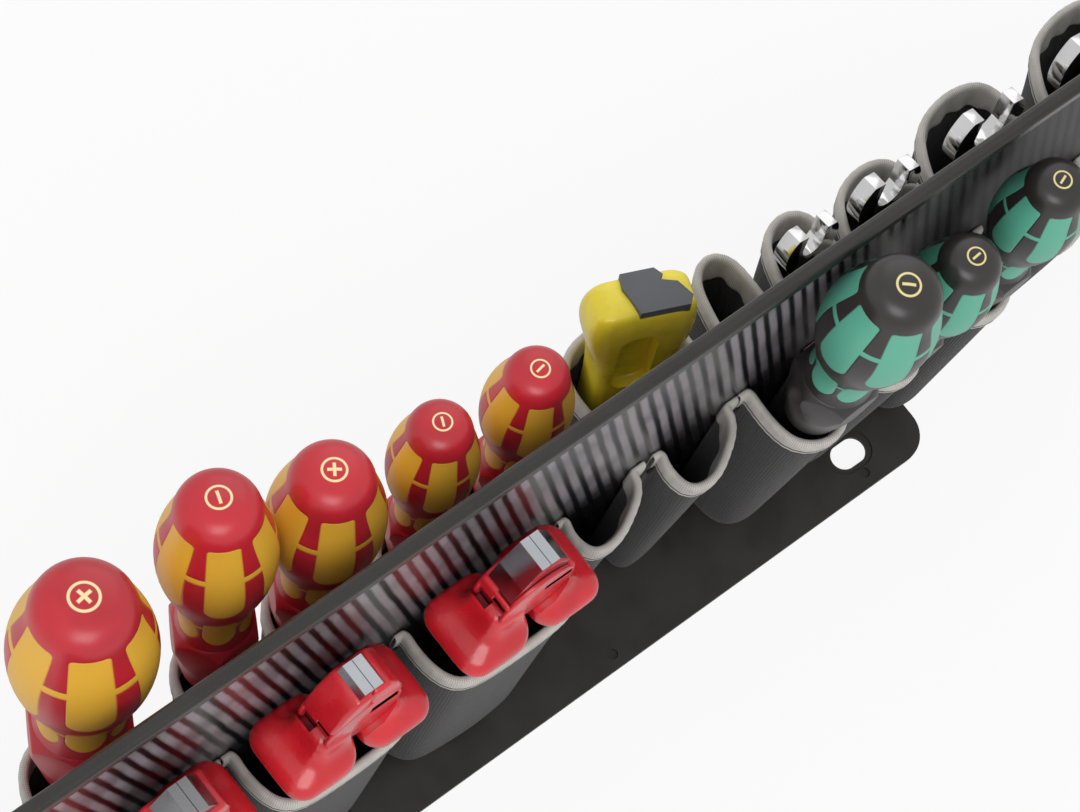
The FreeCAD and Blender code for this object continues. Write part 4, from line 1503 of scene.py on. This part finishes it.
@dataclass
class Studio:
    """Camera, lamps, pale floor and world."""

    focal_px: float = 4303.3
    width_px: float = 1080.0
    sensor: float = 36.0
    centre: tuple[float, float, float] = (-462.7, -193.2, 1224.9)
    right: tuple[float, float, float] = (0.76641, -0.61373, 0.18958)
    down: tuple[float, float, float] = (-0.5257, -0.76889, -0.36393)
    ahead: tuple[float, float, float] = (0.36913, 0.17926, -0.91193)
    floor_size: float = 3.2
    floor_drop: float = 0.0004
    floor_glow: float = 0.88
    floor_grey: tuple[float, ...] = (0.8, 0.8, 0.8, 1.0)
    white: tuple[float, ...] = (1.0, 1.0, 1.0, 1.0)
    world_light: float = 0.75
    gloss_share: float = 0.8
    aim: tuple[float, float, float] = (0.0, 0.0, 0.1)

    def build_camera(self) -> None:
        """Puts the camera where the photograph was taken from."""
        data = bpy.data.cameras.new("camera")
        data.sensor_width = self.sensor
        data.lens = self.focal_px / self.width_px * self.sensor
        data.clip_start = 0.05
        data.clip_end = 20.0
        camera = bpy.data.objects.new("camera", data)
        bpy.context.scene.collection.objects.link(camera)
        axes = Matrix((Vector(self.right), -Vector(self.down), -Vector(self.ahead))).transposed().to_4x4()
        axes.translation = Vector(self.centre) * MM
        camera.matrix_world = axes
        bpy.context.scene.camera = camera

    def build_lamp(self, name: str, place: tuple[float, float, float], size: float, power: float) -> None:
        """Adds one soft area lamp that faces the panel.

        Args:
            name: the lamp's name.
            place: where it hangs, in metres.
            size: its side in metres.
            power: its power in watts.
        """
        data = bpy.data.lights.new(name, "AREA")
        data.shape = "SQUARE"
        data.size = size
        data.energy = power
        lamp = bpy.data.objects.new(name, data)
        bpy.context.scene.collection.objects.link(lamp)
        lamp.location = place
        ahead = Vector(self.aim) - Vector(place)
        lamp.rotation_euler = ahead.to_track_quat("-Z", "Y").to_euler()

    def build_world(self) -> None:
        """A plain world: white to the camera and in gloss, softer as light."""
        world = bpy.data.worlds.new("studio")
        bpy.context.scene.world = world
        world.use_nodes = True
        g = Graph(world.node_tree)
        background = world.node_tree.nodes["Background"]
        rays = g.add("LightPath")
        seen = g.most(g.take(rays, "Is Camera Ray"), g.most(
            g.take(rays, "Is Glossy Ray") * self.gloss_share, g.take(rays, "Is Transmission Ray")))
        g.fill(background, Color=self.white, Strength=g.most(seen, self.world_light))

    def build_floor(self) -> None:
        """A pale floor that keeps a faint shadow of the panel."""
        bpy.ops.object.select_all(action="DESELECT")
        bpy.ops.mesh.primitive_plane_add(size=self.floor_size, location=(0, 0, -self.floor_drop))
        floor = bpy.context.active_object
        floor.name = "floor"
        bpy.ops.object.transform_apply(location=True, rotation=True, scale=True)
        material, g, shader = new_material("floor_white")
        g.fill(shader, Base_Color=self.floor_grey, Roughness=0.9)
        seen = g.take(g.add("LightPath"), "Is Camera Ray") * self.floor_glow
        mix = g.add("MixShader", seen, g.take(shader, 0), g.take(g.add("Emission"), 0))
        g.fill(material.node_tree.nodes["Material Output"], Surface=g.take(mix, 0))
        floor.data.materials.append(material)

    def build(self) -> None:
        """Sets up the whole studio."""
        bpy.context.scene.view_settings.view_transform = "Standard"
        self.build_camera()
        self.build_world()
        self.build_floor()
        self.build_lamp("key", (-0.75, -0.65, 1.45), 0.9, 9.5)
        self.build_lamp("fill", (0.9, 0.9, 1.1), 1.2, 3.0)


@dataclass
class Rack:
    """The panel itself: board, edge trim, foot plate, rivets and the two rows of pockets."""

    grip_top: float = 8.0
    grip_foot: float = 5.4
    pliers_left: float = 24.3
    pliers_right: float = 26.2

    def pliers_pocket(self, name: str, x: float, seed: float) -> Pocket:
        """A wide pocket for one pair of pliers.

        Args:
            name: the pocket's name.
            x: where the pliers stand.
            seed: what its folds start from.

        Returns:
            The pocket.
        """
        depth = PLIERS_OUT + self.grip_top + 0.5 + TAPE_THICK + CLOTH - FACE
        foot = PLIERS_OUT + self.grip_foot + 1.0 + CLOTH - FACE
        return Pocket(name, Side.FRONT, x - self.pliers_left, x + self.pliers_right, depth, foot,
                      Mouth.WIDE, seed, 0.4, 0.9)

    def front_row(self, drivers: list[Driver]) -> list[Pocket]:
        """The pockets of the front face, from left to right."""
        row = [self.pliers_pocket(f"front_{k + 1}", x, 1.3 * k) for k, x in enumerate(PLIERS_X)]
        row.append(Pocket("front_4", Side.FRONT, -20.1, 5.9, 15.6, 10.6, Mouth.LIMP, 0.4, 0.5, 0.7))
        row.append(Pocket("front_5", Side.FRONT, 16.0, 41.5, 17.2, 10.8, Mouth.LIMP, 2.1, 0.5, 0.7))
        for k, half in enumerate((11.7, 10.4, 11.2)):
            row.append(drivers[5 + k].pocket(f"front_{6 + k}", half, 0.8 * k))
        row.append(Pocket("front_9", Side.FRONT, 156.0, 183.0, 21.0, 12.5, Mouth.LIMP, 1.1, 0.5, 0.7))
        return row

    def back_row(self, drivers: list[Driver]) -> list[Pocket]:
        """The pockets of the back face, from left to right."""
        row = [drivers[k].pocket(f"back_{k + 1}", half, 0.9 * k)
               for k, half in enumerate((17.5, 11.9, 12.8, 11.0, 11.0))]
        row.append(Pocket("back_6", Side.BACK, 5.4, 44.4, 38.2, 27.0, Mouth.WIDE, 0.3, 0.4, 1.0))
        spans = ((55.0, 71.0, 36.4), (80.0, 99.5, 34.1), (107.0, 132.4, 32.6), (141.5, 173.5, 36.3),
                 (189.5, 224.5, 37.6))
        for k, (left, right, depth) in enumerate(spans):
            row.append(Pocket(f"back_{7 + k}", Side.BACK, left, right, depth, 22.0, Mouth.FULL, 1.7 * k,
                              0.6, 1.1))
        return row

    def build(self, groups: Groups, drivers: list[Driver]) -> None:
        """Dresses the board's own nodes and models the pockets.

        Args:
            groups: the shared node groups.
            drivers: the drivers, whose pockets are shaped to them.
        """
        dress("board", BandedFace("board_laminate").make(groups))
        dress("edge_trim", Moulded("trim_leathery", (38, 36, 33), 0.3, 0.45, 0.12).make(groups))
        dress("foot_plate", Moulded("plate_satin", (44, 41, 39), 0.5, 0.35, 0.03).make(groups))
        dress("rivets", Moulded("rivet_black", (36, 35, 35), 0.35, 0.4, 0.02).make(groups))
        # the cloth's second colour is painted shade between its ribs
        cloth = Woven("pocket_cloth", (40, 37, 37), (14, 13, 13), 1.0, 0.7, 0.25).make(groups)
        # the tape's dark colour is painted shade between its ribs and in the groove of its seam
        tape = Woven("binding_tape", (186, 182, 176), (60, 57, 54), 0.6, 0.5, 0.1, 0.8, 0.1,
                     groove=(1.25, 1.95)).make(groups)
        for label, row in (("front", self.front_row(drivers)), ("back", self.back_row(drivers))):
            for k, pocket in enumerate(row):
                pocket.build_wall(cloth, f"{label}_pocket_{k + 1}")
                pocket.build_floor(cloth)
                pocket.build_tape(tape)
            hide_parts(f"{label}_binding")


def all_drivers() -> list[Driver]:
    """The eight drivers, back row first.

    Returns:
        The drivers.
    """
    back, front, cross, slot = Side.BACK, Side.FRONT, TipMark.CROSS, TipMark.SLOT
    return [
        Driver("insulated_driver_1", back, -176.8, 19.5, 93.0, 7.6, 109.0, 20.1, 3.9, cross, 8.0),
        Driver("insulated_driver_2", back, -130.6, 20.5, 94.6, 9.6, 101.0, 16.6, 3.6, slot, 70.0),
        Driver("insulated_driver_3", back, -97.8, 17.5, 84.0, 6.2, 101.0, 16.6, 3.6, cross, -35.0),
        Driver("insulated_driver_4", back, -62.7, 16.5, 92.6, 5.4, 84.0, 12.9, 2.8, slot, 65.0),
        Driver("insulated_driver_5", back, -31.3, 16.5, 92.6, 3.3, 84.0, 12.9, 2.8, slot, 10.0),
        Driver("shop_driver_1", front, 60.8, 17.4, 93.6, 1.8, 101.0, 16.6, 2.9, slot, -40.0),
        Driver("shop_driver_2", front, 91.7, 17.5, 92.6, 3.0, 84.0, 12.9, 2.2, slot, 5.0),
        Driver("shop_driver_3", front, 128.0, 16.8, 92.6, 1.0, 84.0, 12.9, 2.2, slot, 20.0),
    ]


def dress_tools(groups: Groups, drivers: list[Driver]) -> None:
    """Models the handles and dresses the tools' own nodes.

    Args:
        groups: the shared node groups.
        drivers: the drivers.
    """
    insulated = Moulded("insulated_blade_red", (178, 28, 40), 0.35, 0.5, 0.02, 0.2).make(groups)
    steel = Polished("blade_steel", (150, 148, 145), 0.3).make(groups)
    red_skin = ((196, 34, 48), (230, 176, 54), (246, 222, 170))
    green_skin = ((46, 41, 41), (92, 176, 150), (232, 216, 150))
    for driver in drivers:
        at_back = driver.side is Side.BACK
        skin = TwoTone(driver.name + "_skin", *(red_skin if at_back else green_skin), driver.sign,
                       driver.handle / driver.bulge, driver.sign_turn)
        driver.build_handle(skin.make(groups), "red_handle" if at_back else "green_handle")
        dress(driver.name + "_blade", insulated if at_back else steel)
    red = Moulded("plier_red", (205, 30, 42), 0.26, 0.9, 0.07, 0.4).make(groups)
    sleeve = Moulded("plier_sleeve", (178, 176, 58), 0.4, 0.9, 0.05, 0.1, 0.3).make(groups)
    cast = Polished("plier_cast", (152, 152, 154), 0.42).make(groups)
    jaw = Polished("plier_chrome", (205, 208, 214), 0.14).make(groups)
    for k, (cover_steps, metal) in enumerate(((2, cast), (3, jaw), (1, jaw))):
        Pliers(k + 1, PLIERS_X[k], cover_steps).build(red, sleeve, metal)
    chrome = Polished("wrench_plating", (222, 222, 222), 0.13).make(groups)
    for wrench in (Wrench(1, 8.0, 10.4, 95.6, 89.4, 11.0), Wrench(2, 10.0, 12.4, 94.4, 120.5, 11.0),
                   Wrench(3, 13.0, 14.4, 92.0, 161.0, 10.6), Wrench(4, 15.0, 16.0, 90.0, 207.3, 11.0)):
        wrench.build(chrome)
    yellow = Moulded("stripper_yellow", (236, 216, 50), 0.3, 0.8, 0.03, 0.35).make(groups)
    grey = Moulded("stripper_grey", (86, 88, 92), 0.45, 0.5, 0.04).make(groups)
    Stripper().build(yellow, grey)


def main() -> None:
    """Builds the studio, the panel and its tools, in this order."""
    groups = Groups()
    Studio().build()
    drivers = all_drivers()
    Rack().build(groups, drivers)
    dress_tools(groups, drivers)


if __name__ == "__main__":
    main()
